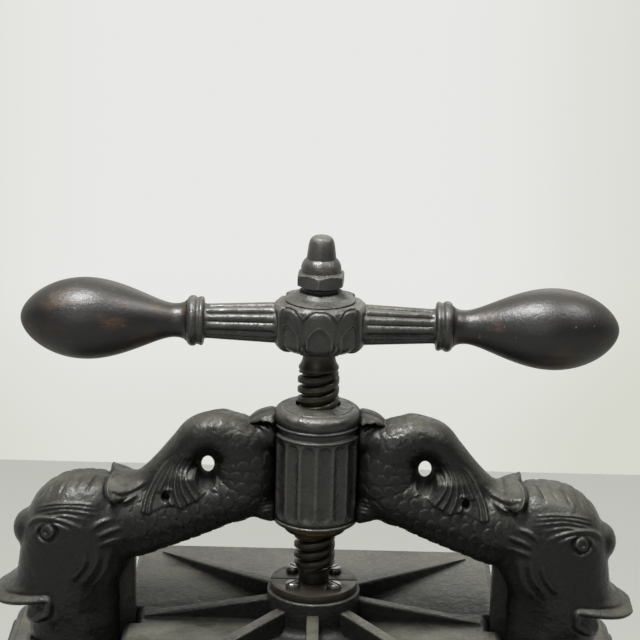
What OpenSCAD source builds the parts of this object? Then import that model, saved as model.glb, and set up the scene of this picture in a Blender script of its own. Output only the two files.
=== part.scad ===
// Cast-iron copying press: two dolphins carry a boss, a double-start screw drives the platen onto the bed.
// Millimetres. X runs along the handle, Y front to back, Z up from the surface that the press stands on.

/* [Press screw] */
// Outside diameter of the screw
screw_d = 25.4; // [22:0.2:28]
// Root diameter of the screw, and diameter of its plain neck
root_d = 20; // [19.4:0.1:22]
// Rise of the screw in one turn
screw_lead = 12.7; // [8:0.1:16]
// Turns that the handle makes each way from its rest position
screw_turns = 2.25; // [1:0.25:2.5]
// Height of the plain neck under the hub
neck_h = 11; // [6:0.5:20]
// Side of the square that drives the hub
square_w = 13.5; // [11:0.1:13.6]
// Diameter of the stud above the square
stud_d = 10.6; // [8:0.1:10.8]
// Depth of the stud inside the acorn nut
stud_grip = 22; // [12:0.5:26]
// Diameter of the journal that turns in the platen's socket
journal_d = 18.8; // [15:0.1:19]
// Diameter of the screw inside the keeper groove
groove_d = 13; // [10:0.1:14]
// Plain collar between the keeper groove and the thread
collar_h = 8; // [4:0.5:14]

/* [Handle] */
// Diameter of the hub's drum
hub_d = 54; // [48:0.5:60]
// Depth of the hub below the axis of the arms
hub_below = 16; // [14:0.5:20]
// Height of the hub above the axis of the arms
hub_above = 14.8; // [13:0.1:18]
// Radius of the hub's rounded lower edge
hub_round = 8; // [4:0.5:10]
// Diameter of the hub's top face, under the washer
hub_top_d = 43; // [42.8:0.1:46]
// Diameter of the arms where they leave the hub
arm_root_d = 23.6; // [22:0.1:26]
// Diameter of the arms beside the beads
arm_end_d = 21; // [18:0.1:22]
// Height of the plain collar between the hub and the reeds
arm_collar = 1.2; // [0.8:0.1:1.2]
// Reeds round each arm
arm_reeds = 12; // [8:2:16]
// Depth of the hollows between the reeds
reed_depth = 0.8; // [0.4:0.1:1.2]
// Distance from the screw's axis to the middle of a bead
bead_x = 75.6; // [60:0.1:90]
// Diameter of a bead
bead_d = 30.8; // [26:0.1:34]
// Width of a bead
bead_w = 10; // [7:0.1:12]
// Raised leaves round the hub, counting the two places that the arms take
leaves = 8; // [8:2:8]
// Share of its place round the hub that a leaf fills
leaf_fill = 0.84; // [0.7:0.01:0.85]
// Height of the leaves' rims above the drum
leaf_rise = 1.4; // [0.8:0.1:2]
// Width of a leaf's raised rim
leaf_rim = 1.8; // [1.2:0.1:2.4]
// Plain band of the hub below and above the leaves
leaf_foot = 4; // [3:0.1:5]

/* [Grips] */
// Length of a grip from its bead to its tip
grip_len = 100.4; // [80:0.2:120]
// Greatest diameter of a grip
grip_d = 49.6; // [40:0.2:56]
// Distance from the bead to the grip's greatest diameter
grip_swell = 60.4; // [48:0.2:70]
// Diameter of a grip at its neck
grip_neck_d = 20.5; // [18:0.1:24]
// Distance from the bead to the neck
grip_neck_x = 7; // [5:0.1:10]
// Diameter of the flared end beside the bead
grip_flare_d = 25.4; // [24.2:0.1:29]
// Diameter of the iron tang
tang_d = 9; // [7:0.1:10]
// Depth of the tang in the grip
tang_in_grip = 62; // [40:0.5:70]
// Depth of the tang in the arm
tang_in_arm = 22; // [15:0.5:28]

/* [Washer and acorn nut] */
// Diameter of the dished washer at its lower edge
washer_d = 42.6; // [36:0.1:42.8]
// Diameter of the washer's flat top
washer_top_d = 26.8; // [24:0.1:30]
// Thickness of the washer
washer_t = 5.9; // [4:0.1:8]
// Thickness of the washer's square lower edge
washer_edge = 1.2; // [0.8:0.1:2]
// Distance across the flats of the acorn nut's hexagon
acorn_flats = 27; // [24:0.1:30]
// Height of the round foot under the hexagon
acorn_foot = 2.4; // [1.5:0.1:3.5]
// Height of the hexagon
hex_h = 9.2; // [8:0.1:11]
// Diameter of the acorn's round waist
waist_d = 17.4; // [15.6:0.1:20]
// Height of the acorn nut from the washer to its tip
acorn_h = 34.9; // [32:0.1:42]
// Turn of the hexagon about the screw's axis
acorn_turn = 26; // [0:1:60]

/* [Boss and nut] */
// Diameter of the fluted barrel
boss_d = 53; // [52:0.5:58]
// Height of the boss
boss_h = 77.4; // [74:0.2:84]
// Fall of the conical top from the screw to its edge
boss_fall = 1.6; // [1:0.1:3]
// Diameter of the rolled shoulder round the conical top
roll_d = 10.6; // [9:0.2:12]
// Height of the ring mouldings
ring_h = 6; // [4:0.1:7]
// Projection of the ring mouldings
ring_out = 1.2; // [0.6:0.1:2]
// Flutes round the barrel
flutes = 16; // [12:2:20]
// Width of a flute
flute_w = 7.4; // [4:0.1:8]
// Depth of a flute
flute_depth = 1.4; // [0.6:0.1:2]
// Diameter of the bronze nut's body
nut_d = 36; // [32:0.5:40]
// Length of the nut's body
nut_len = 60; // [45:1:66]
// Diameter of the nut's flange
nut_flange_d = 48; // [44:0.5:52]
// Thickness of the nut's flange
nut_flange_t = 5; // [3:0.5:8]
// Diameter of the grub screw that locks the nut
lock_d = 6; // [4:0.5:8]
// Depth of the grub screw's point in the nut
lock_bite = 2.5; // [1:0.1:3]

/* [Dolphins] */
// Distance from the boss's side to the middle of a plinth
arch_reach = 124; // [112:1:136]
// Thickness of the dolphins' bodies from front to back, as a share of the shape drawn
body_depth = 1; // [0.85:0.01:1.15]
// Half width of the plinth under a head, along X
plinth_half_x = 31; // [28:0.5:34]
// Half width of the plinth under a head, along Y
plinth_half_y = 34; // [30:0.5:40]
// Width of the guide rib inside a leg
guide_w = 16; // [10:0.5:24]
// Projection of the guide rib towards the screw
guide_out = 8; // [5:0.5:12]

/* [Platen] */
// Space between the bed and the platen at rest
rest_gap = 29; // [20:0.5:40]
// Thickness of the platen's plate
platen_t = 11; // [8:0.5:16]
// Depth of the platen from front to back
platen_depth = 236; // [180:1:250]
// Bevel round the platen's upper edge
platen_bevel = 4; // [2:0.5:6]
// Gap between the platen's ends and the legs
platen_side_gap = 1.5; // [1:0.1:4]
// Diameter of the platen's socket
socket_d = 58; // [56:0.5:64]
// Height of the socket above the plate
socket_h = 22; // [16:0.5:28]
// Thickness of the platen's ribs
rib_t = 8; // [5:0.5:12]
// Height of the ribs beside the socket
rib_h = 15; // [8:0.5:16]
// Thickness of the hardened thrust disc
disc_t = 4; // [2:0.5:6]
// Diameter of the split keeper
keeper_d = 54; // [52:0.5:56]
// Thickness of the split keeper
keeper_t = 5; // [4:0.5:7]
// Saw cut between the two halves of the keeper
keeper_cut = 1; // [0.5:0.1:2]
// Thread diameter of the keeper screws
keeper_screw_d = 5; // [4:0.5:6]
// Depth of the keeper screws in the socket
keeper_screw_grip = 10; // [6:0.5:12]
// Diameter of the keeper screws' heads
keeper_head_d = 9; // [8:0.1:10]
// Height of the keeper screws' heads
keeper_head_h = 3.5; // [2.5:0.1:5]

/* [Base] */
// Height of the bed above the surface that the press stands on
bed_h = 40; // [34:1:50]
// Depth of the base from front to back
base_depth = 272; // [262:1:320]
// Width of the base outside the plinths, at each end
base_margin = 22; // [18:0.5:40]
// Length of the canted corners, measured along X
corner_cant = 26; // [10:1:40]
// Thickness of the bed
bed_t = 22; // [18:0.5:26]
// Bevel round the bed's lower edge
bed_edge = 2; // [1:0.5:4]
// Width of the moulding round the bed
mould_w = 10; // [6:0.5:10]
// Height of the moulding round the bed
mould_h = 15; // [10:0.5:18]
// Greatest diameter of a foot
foot_d = 46; // [36:0.5:50]
// Distance of a foot's axis from the sides of the base
foot_in = 40; // [32:0.5:60]
// Thickness of the cap between a foot and the bed
foot_cap = 3; // [2:0.1:5]
// Diameter of the peg that holds a foot in the bed
foot_peg_d = 12; // [8:0.5:16]
// Depth of the peg in the bed
foot_peg_h = 10; // [6:0.5:14]

/* [Arch bolts] */
// Thread diameter of the bolts that hold the arch to the bed
bolt_d = 10; // [8:0.5:12]
// Depth of the bolts in the plinths
bolt_grip = 20; // [14:0.5:24]
// Distance between the two bolts of a plinth
bolt_pitch = 36; // [28:0.5:44]
// Distance across the flats of the bolts' heads
bolt_flats = 16; // [14:0.5:18]
// Height of the bolts' heads
bolt_head_h = 6.5; // [5:0.5:8]
// Diameter of the bolts' washers
bolt_washer_d = 22; // [19:0.5:26]
// Thickness of the bolts' washers
bolt_washer_t = 2; // [1:0.5:3]

/* [Clearances] */
// Radial room of fixed round pieces in their bores
seat_clear = 0.03; // [0.01:0.01:0.1]
// Radial room of the journal in its socket
run_clear = 0.08; // [0.03:0.01:0.2]
// Radial room of the screw in the nut and the boss
screw_clear = 0.4; // [0.3:0.05:0.8]
// Room on each side of the guide ribs in the platen's notches
slide_clear = 0.5; // [0.3:0.05:1]
// Room above and below the keeper in the screw's groove
groove_clear = 0.15; // [0.05:0.05:0.4]
// Room above the keeper screws' heads at the top of the travel
head_clear = 2.4; // [1:0.1:6]
// Room under the hub at the bottom of the travel
hub_clear = 6; // [2:0.1:12]

/* [Hidden] */
$fn = 64;
// Overlap of cutting shapes past the faces that they open
cut = 1;

// Heights, from the bed upwards
travel = screw_lead * screw_turns;
platen_z = bed_h + rest_gap;
platen_top = platen_z + platen_t;
socket_top = platen_top + socket_h;
keeper_top = socket_top + keeper_t;
nut_z = keeper_top + keeper_head_h + travel + head_clear;
boss_z = nut_z + nut_flange_t;
boss_top = boss_z + boss_h;
hub_z = boss_top + travel + hub_clear;
handle_z = hub_z + hub_below;
hub_top = handle_z + hub_above;
washer_top = hub_top + washer_t;
disc_top = platen_top + disc_t;
thread_z = keeper_top + groove_clear + collar_h;
thread_top = hub_z - neck_h;

// Places along X, outwards from the boss
boss_r = boss_d / 2;
plinth_x = boss_r + arch_reach;
plinth_inner = plinth_x - plinth_half_x;
guide_x = plinth_inner - guide_out;
platen_half = plinth_inner - platen_side_gap;
base_half = plinth_x + plinth_half_x + base_margin;
bead_end = bead_x + bead_w / 2;
keeper_screw_r = (keeper_d / 2 + journal_d / 2) / 2;
bed_under = bed_h - bed_t;

// Finishes
black_iron = "#2e2f2e";
worn_iron = "#4a4844";
bright_steel = "#8d8f90";
bronze = "#9a7a45";
ebonised_wood = "#2b211d";

// Curve through the stations of a list: b to c, with a and d on either side
function blend(a, b, c, d, t) =
    0.5 * (2 * b + (c - a) * t + (2 * a - 5 * b + 4 * c - d) * t * t
        + (3 * b - a - 3 * c + d) * t * t * t);
function smooth(list, steps) = [
    for (i = [0 : len(list) - 2], k = [0 : steps - 1])
        blend(list[max(i - 1, 0)], list[i], list[i + 1], list[min(i + 2, len(list) - 1)], k / steps),
    list[len(list) - 1]
];

// Points of a cubic curve with ends a and d and handles b and c
function cubic(a, b, c, d, steps) = [
    for (k = [0 : steps]) let (t = k / steps, s = 1 - t)
        s * s * s * a + 3 * s * s * t * b + 3 * s * t * t * c + t * t * t * d
];

// Points of a quarter of an ellipse from angle "from" to angle "to"
function arc(centre, rx, ry, from, to, steps) = [
    for (k = [0 : steps]) let (a = from + (to - from) * k / steps)
        centre + [rx * cos(a), ry * sin(a)]
];

// Closed skin through a list of rings that all have as many points
module skin(rings) {
    sides = len(rings[0]);
    last = len(rings) - 1;
    polyhedron(
        points = [for (ring = rings) each ring],
        faces = [
            [for (k = [sides - 1 : -1 : 0]) k],
            for (i = [0 : last - 1], k = [0 : sides - 1])
                let (n = (k + 1) % sides)
                [i * sides + k, i * sides + n, (i + 1) * sides + n, (i + 1) * sides + k],
            [for (k = [0 : sides - 1]) last * sides + k]
        ]
    );
}

// One ring of a limb whose stations are [x, y, z, half width in the front view, half depth along Y]
function limb_ring(list, i, sides) =
    let (
        here = list[i],
        step = list[min(i + 1, len(list) - 1)] - list[max(i - 1, 0)],
        run = norm([step[0], step[2]])
    )
    [
        for (k = [0 : sides - 1]) let (a = 360 * k / sides, across = here[3] * cos(a) / run)
            [here[0] - step[2] * across, here[1] + here[4] * sin(a), here[2] + step[0] * across]
    ];

// Limb that swells and tapers along its stations, or along a stretch of them
module limb(stations, steps = 3, sides = 14, from = 0, to = 1000) {
    path = smooth(stations, steps);
    first = from * steps;
    last = min(to * steps, len(path) - 1);
    skin([for (i = [first : last]) limb_ring(path, i, sides)]);
}

// Level ring with rounded corners: squareness 2 is an ellipse, more is squarer
function level_ring(x, z, half_x, half_y, squareness, sides) = [
    for (k = [0 : sides - 1])
        let (a = 360 * k / sides, c = cos(a), s = sin(a))
        [
            x + half_x * sign(c) * pow(abs(c), 2 / squareness),
            half_y * sign(s) * pow(abs(s), 2 / squareness),
            z
        ]
];

// Slab whose moulded section, [distance from the middle, height], runs round a canted rectangle
module moulded_slab(half_x, half_y, cant, section) {
    slant = (half_x + half_y - cant) / sqrt(2);
    reach = 2 * (half_x + half_y);
    intersection_for (side = [[0, half_x], [90, half_y], [45, slant], [-45, slant]])
        rotate(side[0])
            rotate([90, 0, 0])
                linear_extrude(reach, center = true)
                    polygon(concat(
                        [for (p = section) [side[1] - p[0], p[1]]],
                        [for (i = [len(section) - 1 : -1 : 0]) [section[i][0] - side[1], section[i][1]]]
                    ));
}

module both_ends() {
    children();
    mirror([1, 0, 0]) children();
}

module both_faces() {
    children();
    mirror([0, 1, 0]) children();
}

module at_bolts() {
    for (x = [-plinth_x, plinth_x], y = [-bolt_pitch / 2, bolt_pitch / 2])
        translate([x, y, 0]) children();
}

module at_feet() {
    across = base_half - foot_in;
    along = base_depth / 2 - foot_in;
    for (x = [-across, across], y = [-along, along])
        translate([x, y, 0]) children();
}

module at_keeper_screws(angles) {
    for (a = angles)
        rotate(a) translate([keeper_screw_r, 0, 0]) children();
}

// Base: moulded bed, bored for the arch bolts and for the pegs of its feet
module base_plate() {
    section = concat(
        [[bed_edge, bed_under], [0, bed_under + bed_edge], [0, bed_h - mould_h]],
        arc([mould_w, bed_h - mould_h], mould_w * 0.75, mould_h * 0.8, 180, 90, 6),
        [[mould_w, bed_h - mould_h * 0.2], [mould_w, bed_h]]
    );
    color(black_iron)
    difference() {
        moulded_slab(base_half, base_depth / 2, corner_cant, section);
        at_bolts() translate([0, 0, bed_under - cut]) cylinder(d = bolt_d + 1, h = bed_t + 2 * cut);
        at_feet() translate([0, 0, bed_under - cut])
            cylinder(d = foot_peg_d + 2 * seat_clear, h = foot_peg_h + 2 * cut);
    }
}

// Bun feet with a cap and a peg
module base_feet() {
    cap_z = bed_under - foot_cap;
    bulge = cap_z / 2;
    r = foot_d / 2;
    peg_r = foot_peg_d / 2;
    color(black_iron)
    at_feet()
        rotate_extrude()
            polygon(concat(
                [[0, 0]],
                arc([r - bulge, bulge], bulge, bulge, -90, 60, 8),
                [[r - bulge, cap_z], [r - bulge / 3, cap_z], [r - bulge / 3, bed_under], [peg_r, bed_under]],
                [[peg_r, bed_under + foot_peg_h], [0, bed_under + foot_peg_h]]
            ));
}

// Half depth of a head at a place in the front view, [u, w] being measured from the boss's lower rim
function head_depth(u, w) =
    let (
        mid = lookup(w, [for (h = head_stations) [h[0], h[1]]]),
        half = lookup(w, [for (h = head_stations) [h[0], h[2]]]),
        deep = lookup(w, [for (h = head_stations) [h[0], h[3]]]),
        side = min(abs(u - mid) / half, 0.98)
    )
    body_depth * deep * pow(1 - pow(side, head_square), 1 / head_square);
head_square = 2.5;

// Reach that the stations below are drawn for
drawn_reach = 124;
// Body stations from the throat round the loop to the tail: [u, y, w, half width, half depth]
body_stations = [
    [113, 0, 0, 24, 27], [91.5, 0, 0, 26, 26], [69.5, 0, 4, 22, 23.5], [46, 0, 11, 19.5, 21.5],
    [33, 0, 16, 18.5, 20.5], [20.5, 0, 22, 19.5, 19.5], [17.8, 0, 38, 20, 18.5], [21.5, 0, 50, 17.2, 17.5],
    [32, 0, 56.8, 13.4, 16], [45, 0, 55, 12, 14.5], [54.5, 0, 46.5, 10.2, 13], [65.5, 0, 34.5, 9.3, 12],
    [78.5, 0, 25, 7.3, 10.5], [88, 0, 22.6, 7.6, 12], [95, 0, 23, 9.2, 15.5], [101, 0, 23.8, 11, 19]
];
loop_top = 8;

// Head stations from the crown down to the lower jaw: [w, u, half width, half depth]
head_stations = [
    [-79, 123, 29, 31], [-70, 122.5, 28.5, 30.5], [-62, 124, 30, 30.5], [-55, 132, 38, 31],
    [-51, 133, 39.5, 31], [-46, 131, 37, 31], [-38, 126.5, 33, 30.5], [-22, 121.5, 35, 30.5],
    [-5, 119.5, 34.5, 29.5], [9.3, 117.5, 31, 26], [17.6, 116, 26, 22], [24.2, 114, 19, 16],
    [27.6, 113, 11, 9], [28.5, 112.5, 5, 4]
];
mouth_corner = [138, -47];
mouth_upper = [182, -55];
mouth_lower = [182, -67];
jaw_w = -79;

// Ribs of the fin that hangs from the tail over the chest: root and tip, [u, w]
fin_ribs = [
    [[47, 39], [41.5, 28.5]], [[48.6, 43], [46.5, 24.5]], [[51, 45], [51.5, 21.5]], [[54, 45], [57, 19]],
    [[57.5, 44.5], [63, 18]], [[61, 43], [70.5, 16.5]], [[64.5, 41], [77.5, 14.5]]
];
// Bow of the ribs away from the boss
fin_bow = 3.5;
// Brow folds over an eye: places in the front view, [u, w]
brow_folds = [
    [[149, 1], [141.5, 5.5], [133, 5.5], [121, 0.6]],
    [[146, 8], [139, 11], [130, 11], [116, 9.6]],
    [[138, 14.5], [131, 15.8], [121, 15.8], [108, 14]]
];
eye_at = [136.5, -1];
eye_d = 13;
nose_at = [150, -8.6];
nose_d = 20;
// Necks from the body to the boss, above and below: [u, y, w, half width, half depth]
boss_necks = [
    [[20, 0, 50, 13, 15], [8, 0, 56, 9, 12.5], [-4, 0, 58, 9, 12]],
    [[21, 0, 16, 14, 15], [8, 0, 11.5, 9.2, 13], [-5, 0, 8, 9, 13]]
];
// Leaves that clasp the boss above and below the body: root, then tips, [u, y, w]
upper_leaf = [[-5, 0, 50], [2, 0, 75], [7.5, 0, 71.5], [12, 0, 66]];
lower_leaf = [[-3, 13, 12], [11, 16, 16], [14, 16, 9], [9, 15, 2]];

module fin_rib(rib) {
    mid = (rib[0] + rib[1]) / 2 + [fin_bow, 0];
    limb([
        [rib[0][0], 8, rib[0][1], 2.4, 4 * body_depth],
        [mid[0], 15 * body_depth, mid[1], 3.6, 5.5 * body_depth],
        [rib[1][0], 19.5 * body_depth, rib[1][1], 4.2, 4.5 * body_depth],
        [rib[1][0], 18 * body_depth, rib[1][1] - 4.5, 2.4, 3 * body_depth]
    ], 1, 6);
}

module brow_fold(fold) {
    limb([for (p = fold) [p[0], head_depth(p[0], p[1]) - 1, p[1], 2.2, 3.2]], 1, 5);
}

module clasp_leaf(leaf, half_depth) {
    for (i = [1 : 3])
        limb([
            [leaf[0][0], leaf[0][1], leaf[0][2], 4, half_depth * 0.6],
            (concat(leaf[0], [4.4, half_depth]) + concat(leaf[i], [4.4, half_depth])) / 2,
            [leaf[i][0], leaf[i][1], leaf[i][2], 2, half_depth * 0.6]
        ], 1, 6);
}

// One dolphin in the front view, u outwards from the boss and w up from the boss's lower rim
module dolphin() {
    deep = [for (s = body_stations) [s[0], s[1], s[2], s[3], s[4] * body_depth]];
    limb(deep, 2, 12, 0, loop_top);
    limb(deep, 2, 12, loop_top - 1);
    difference() {
        skin([
            for (i = [len(head_stations) - 1 : -1 : 0]) let (h = head_stations[i])
                level_ring(h[1], h[0], h[2], h[3] * body_depth, head_square, 20)
        ]);
        rotate([90, 0, 0])
            linear_extrude(4 * plinth_half_y, center = true)
                polygon([
                    mouth_corner, mouth_upper, mouth_lower, mouth_corner + [18, -18], mouth_corner - [0, 5]
                ]);
    }
    translate([nose_at[0], 0, nose_at[1]])
        scale([1, 1.3 * body_depth, 1]) sphere(d = nose_d, $fn = 13);
    both_faces() {
        translate([eye_at[0], head_depth(eye_at[0], eye_at[1]), eye_at[1]])
            scale([1, 0.5, 1]) sphere(d = eye_d, $fn = 10);
        for (rib = fin_ribs) fin_rib(rib);
        for (fold = brow_folds) brow_fold(fold);
        clasp_leaf(lower_leaf, 5 * body_depth);
    }
    clasp_leaf(upper_leaf, 13 * body_depth);
    for (neck = boss_necks)
        limb([for (s = neck) [s[0], s[1], s[2], s[3], s[4] * body_depth]], 1, 10);
}

// Plinth and guide rib under a head
module leg_foot() {
    jaw_z = boss_z + jaw_w;
    rise = jaw_z - bed_h;
    // Heights as shares of the plinth, then how far each level stands in from the plinth's edge
    levels = [[0, 0], [0.28, 0], [0.34, 1.5], [0.5, 5], [0.72, 6], [0.8, 3], [0.9, 1.5], [1, 2.5], [1.15, 5]];
    skin([
        for (i = [len(levels) - 1 : -1 : 0]) let (l = levels[i])
            level_ring(plinth_x, bed_h + rise * l[0], plinth_half_x - l[1], plinth_half_y - l[1], 6, 20)
    ]);
    translate([guide_x, -guide_w / 2, bed_h])
        cube([guide_out + plinth_half_x / 2, guide_w, boss_z - bed_h - 20]);
}

// Fluted barrel with ring mouldings, a rolled shoulder and a conical top
module boss() {
    roll_r = roll_d / 2;
    roll_x = boss_r + ring_out / 2 - roll_r;
    roll_start = 125;
    roll_z = boss_h - boss_fall - roll_r * sin(roll_start);
    ring_top = roll_z - 0.8 * roll_r;
    ring_z = ring_top - ring_h;
    flute_low = ring_h + 4 * ring_out;
    flute_high = ring_z - 2 * ring_out;
    flute_r = (pow(flute_w / 2, 2) + pow(flute_depth, 2)) / (2 * flute_depth);
    difference() {
        rotate_extrude($fn = 40)
            polygon(concat(
                [[0, 0], [boss_r, 0], [boss_r + ring_out, ring_out], [boss_r + ring_out, ring_h - ring_out]],
                [[boss_r, ring_h], [boss_r, ring_z], [boss_r + ring_out, ring_z + ring_out]],
                [[boss_r + ring_out, ring_top - ring_out], [boss_r, ring_top]],
                arc([roll_x, roll_z], roll_r, roll_r, -30, roll_start, 8),
                [[root_d / 2, boss_h], [0, boss_h]]
            ));
        for (i = [0 : flutes - 1])
            rotate((i + 0.5) * 360 / flutes)
                translate([boss_r - flute_depth + flute_r, 0, flute_low])
                    cylinder(r = flute_r, h = flute_high - flute_low, $fn = 18);
    }
}

// Arch: both dolphins, the boss and the feet in one casting, bored for the nut, the screw and the bolts
module dolphin_arch() {
    bore_d = screw_d + 2 * screw_clear;
    color(black_iron)
    difference() {
        resize([0, 0, 0])
            union() {
                translate([0, 0, boss_z]) boss();
                both_ends() {
                    translate([boss_r, 0, boss_z]) scale([arch_reach / drawn_reach, 1, 1]) dolphin();
                    leg_foot();
                }
            }
        translate([0, 0, boss_z - cut]) cylinder(d = nut_d + 2 * seat_clear, h = nut_len + cut);
        translate([0, 0, boss_z]) cylinder(d = bore_d, h = boss_h + cut);
        translate([0, 0, boss_z + nut_len / 2]) rotate([-90, 0, 0]) cylinder(d = lock_d, h = boss_d);
        at_bolts() translate([0, 0, bed_h - cut])
            cylinder(d = bolt_d + 2 * seat_clear, h = bolt_grip + 2 + cut);
    }
}

module arch_bolts() {
    seat_z = bed_under - bolt_washer_t;
    color(worn_iron)
    at_bolts() {
        translate([0, 0, seat_z - bolt_head_h])
            cylinder(d = bolt_flats / cos(30), h = bolt_head_h, $fn = 6);
        translate([0, 0, seat_z - cut]) cylinder(d = bolt_d, h = cut + bolt_washer_t + bed_t + bolt_grip);
    }
}

module arch_bolt_washers() {
    color(worn_iron)
    at_bolts() translate([0, 0, bed_under - bolt_washer_t])
        difference() {
            cylinder(d = bolt_washer_d, h = bolt_washer_t);
            translate([0, 0, -cut]) cylinder(d = bolt_d + 1, h = bolt_washer_t + 2 * cut);
        }
}

module screw_nut() {
    color(bronze)
    difference() {
        union() {
            translate([0, 0, nut_z]) cylinder(d = nut_flange_d, h = nut_flange_t);
            translate([0, 0, nut_z]) cylinder(d = nut_d, h = nut_flange_t + nut_len);
        }
        translate([0, 0, nut_z - cut])
            cylinder(d = screw_d + 2 * screw_clear, h = nut_len + nut_flange_t + 2 * cut);
        translate([0, nut_d / 2 - lock_bite, boss_z + nut_len / 2])
            rotate([-90, 0, 0]) cylinder(d = lock_d + 2 * seat_clear, h = nut_d);
    }
}

module nut_lock_screw() {
    reach = boss_r - flute_depth - nut_d / 2 + lock_bite;
    color(worn_iron)
    translate([0, nut_d / 2 - lock_bite, boss_z + nut_len / 2])
        rotate([-90, 0, 0])
            difference() {
                cylinder(d = lock_d, h = reach);
                translate([-lock_d, -lock_d / 10, reach - lock_d / 4]) cube([2 * lock_d, lock_d / 5, lock_d]);
            }
}

// Rib of the platen, highest beside the socket, along +X before it is turned
module platen_rib(reach) {
    rotate([90, 0, 0])
        linear_extrude(rib_t, center = true)
            polygon([[0, -cut], [reach, -cut], [reach, 1], [socket_d / 2, rib_h], [0, rib_h]]);
}

module platen() {
    half_y = platen_depth / 2;
    section = [[0, 0], [0, platen_t - platen_bevel], [platen_bevel, platen_t]];
    flat_x = platen_half - platen_bevel - slide_clear - guide_out;
    flat_y = half_y - platen_bevel - 4;
    notch = guide_w + 2 * slide_clear;
    color(black_iron)
    difference() {
        union() {
            translate([0, 0, platen_z]) moulded_slab(platen_half, half_y, 2 * platen_bevel, section);
            translate([0, 0, platen_top - cut])
                rotate_extrude()
                    polygon(concat(
                        [[0, 0], [socket_d / 2 + 6, 0], [socket_d / 2 + 6, cut]],
                        arc([socket_d / 2 + 6, 6 + cut], 6, 6, 270, 180, 5),
                        [[socket_d / 2, socket_h + cut], [0, socket_h + cut]]
                    ));
            translate([0, 0, platen_top])
                for (a = [0, 180]) {
                    rotate(a) platen_rib(flat_x);
                    rotate(a + 90) platen_rib(flat_y);
                    for (s = [-1, 1])
                        rotate(a + s * atan2(flat_y, flat_x)) platen_rib(norm([flat_x, flat_y]) - 10);
                }
        }
        translate([0, 0, platen_top]) cylinder(d = journal_d + 2 * run_clear, h = socket_h + cut);
        translate([0, 0, socket_top - keeper_screw_grip - 1])
            at_keeper_screws([45 : 90 : 315])
                cylinder(d = keeper_screw_d + 2 * seat_clear, h = keeper_screw_grip + cut + 1);
        both_ends()
            translate([guide_x - slide_clear, -notch / 2, platen_z - cut])
                cube([guide_out + platen_half, notch, platen_t + rib_h]);
    }
}

module thrust_disc() {
    color(bright_steel)
    translate([0, 0, platen_top]) cylinder(d = journal_d, h = disc_t);
}

// Half of the split keeper on the +Y side
module keeper_half() {
    translate([0, 0, socket_top])
        difference() {
            cylinder(d = keeper_d, h = keeper_t);
            translate([0, 0, -cut]) cylinder(d = groove_d + 2 * run_clear, h = keeper_t + 2 * cut);
            translate([-keeper_d, keeper_cut / 2 - keeper_d, -cut])
                cube([2 * keeper_d, keeper_d, keeper_t + 2 * cut]);
            translate([0, 0, -cut])
                at_keeper_screws([45, 135])
                    cylinder(d = keeper_screw_d + 2 * seat_clear, h = keeper_t + 2 * cut);
        }
}

module keeper_back() {
    color(worn_iron) keeper_half();
}

module keeper_front() {
    color(worn_iron) mirror([0, 1, 0]) keeper_half();
}

module keeper_screws() {
    slot_w = keeper_head_d / 7;
    color(bright_steel)
    at_keeper_screws([45 : 90 : 315])
        difference() {
            union() {
                translate([0, 0, keeper_top])
                    rotate_extrude()
                        polygon(concat(
                            [[0, 0], [keeper_head_d / 2, 0]],
                            arc([keeper_head_d / 2 - 1, keeper_head_h - 1.6], 1, 1.6, 0, 90, 4),
                            [[0, keeper_head_h]]
                        ));
                translate([0, 0, socket_top - keeper_screw_grip])
                    cylinder(d = keeper_screw_d, h = keeper_screw_grip + keeper_t + cut);
            }
            translate([-keeper_head_d, -slot_w / 2, keeper_top + keeper_head_h - slot_w])
                cube([2 * keeper_head_d, slot_w, 2 * slot_w]);
        }
}

// Screw: thrust journal, keeper groove, thread to its full diameter, neck, driving square and stud
module press_screw() {
    lead_in = (screw_d - root_d) / 2;
    groove_low = socket_top - groove_clear;
    groove_high = keeper_top + groove_clear;
    color(worn_iron) {
        rotate_extrude()
            polygon([
                [0, disc_top], [journal_d / 2 - 1, disc_top], [journal_d / 2, disc_top + 1],
                [journal_d / 2, groove_low], [groove_d / 2, groove_low],
                [groove_d / 2, groove_high], [journal_d / 2, groove_high],
                [journal_d / 2, thread_z - 1], [root_d / 2, thread_z], [screw_d / 2, thread_z + lead_in],
                [screw_d / 2, thread_top - lead_in], [root_d / 2, thread_top],
                [root_d / 2, hub_z], [0, hub_z]
            ]);
        translate([-square_w / 2, -square_w / 2, hub_z - cut])
            cube([square_w, square_w, hub_top - hub_z]);
        translate([0, 0, hub_top - 2 * cut]) cylinder(d = stud_d, h = washer_t + stud_grip + 2 * cut);
    }
}

// Pointed leaf that looks out from the hub, from "low" outwards, drawn in from its edge by "inset"
module leaf_body(inset, low) {
    width = PI * hub_d / leaves * leaf_fill;
    height = hub_below + hub_above - 2 * leaf_foot;
    side_r = (pow(width / 2, 2) + pow(height, 2)) / width;
    translate([0, 0, hub_z + leaf_foot])
        rotate([90, 0, 90])
            intersection() {
                translate([side_r - width / 2, 0, low]) cylinder(r = side_r - inset, h = hub_d);
                translate([width / 2 - side_r, 0, low]) cylinder(r = side_r - inset, h = hub_d);
                translate([-width, inset, 0]) cube([2 * width, height, 3 * hub_d]);
            }
}

// Drum of the hub, grown outwards by "grow"
module hub_drum(grow) {
    r = hub_d / 2;
    rotate_extrude()
        polygon(concat(
            [[0, hub_z], [r - hub_round, hub_z]],
            arc([r - hub_round, hub_z + hub_round], hub_round + grow, hub_round, -90, 0, 6),
            arc([hub_top_d / 2, hub_top - 4], r - hub_top_d / 2 + grow, 4, 0, 90, 4),
            [[0, hub_top]]
        ));
}

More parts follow.
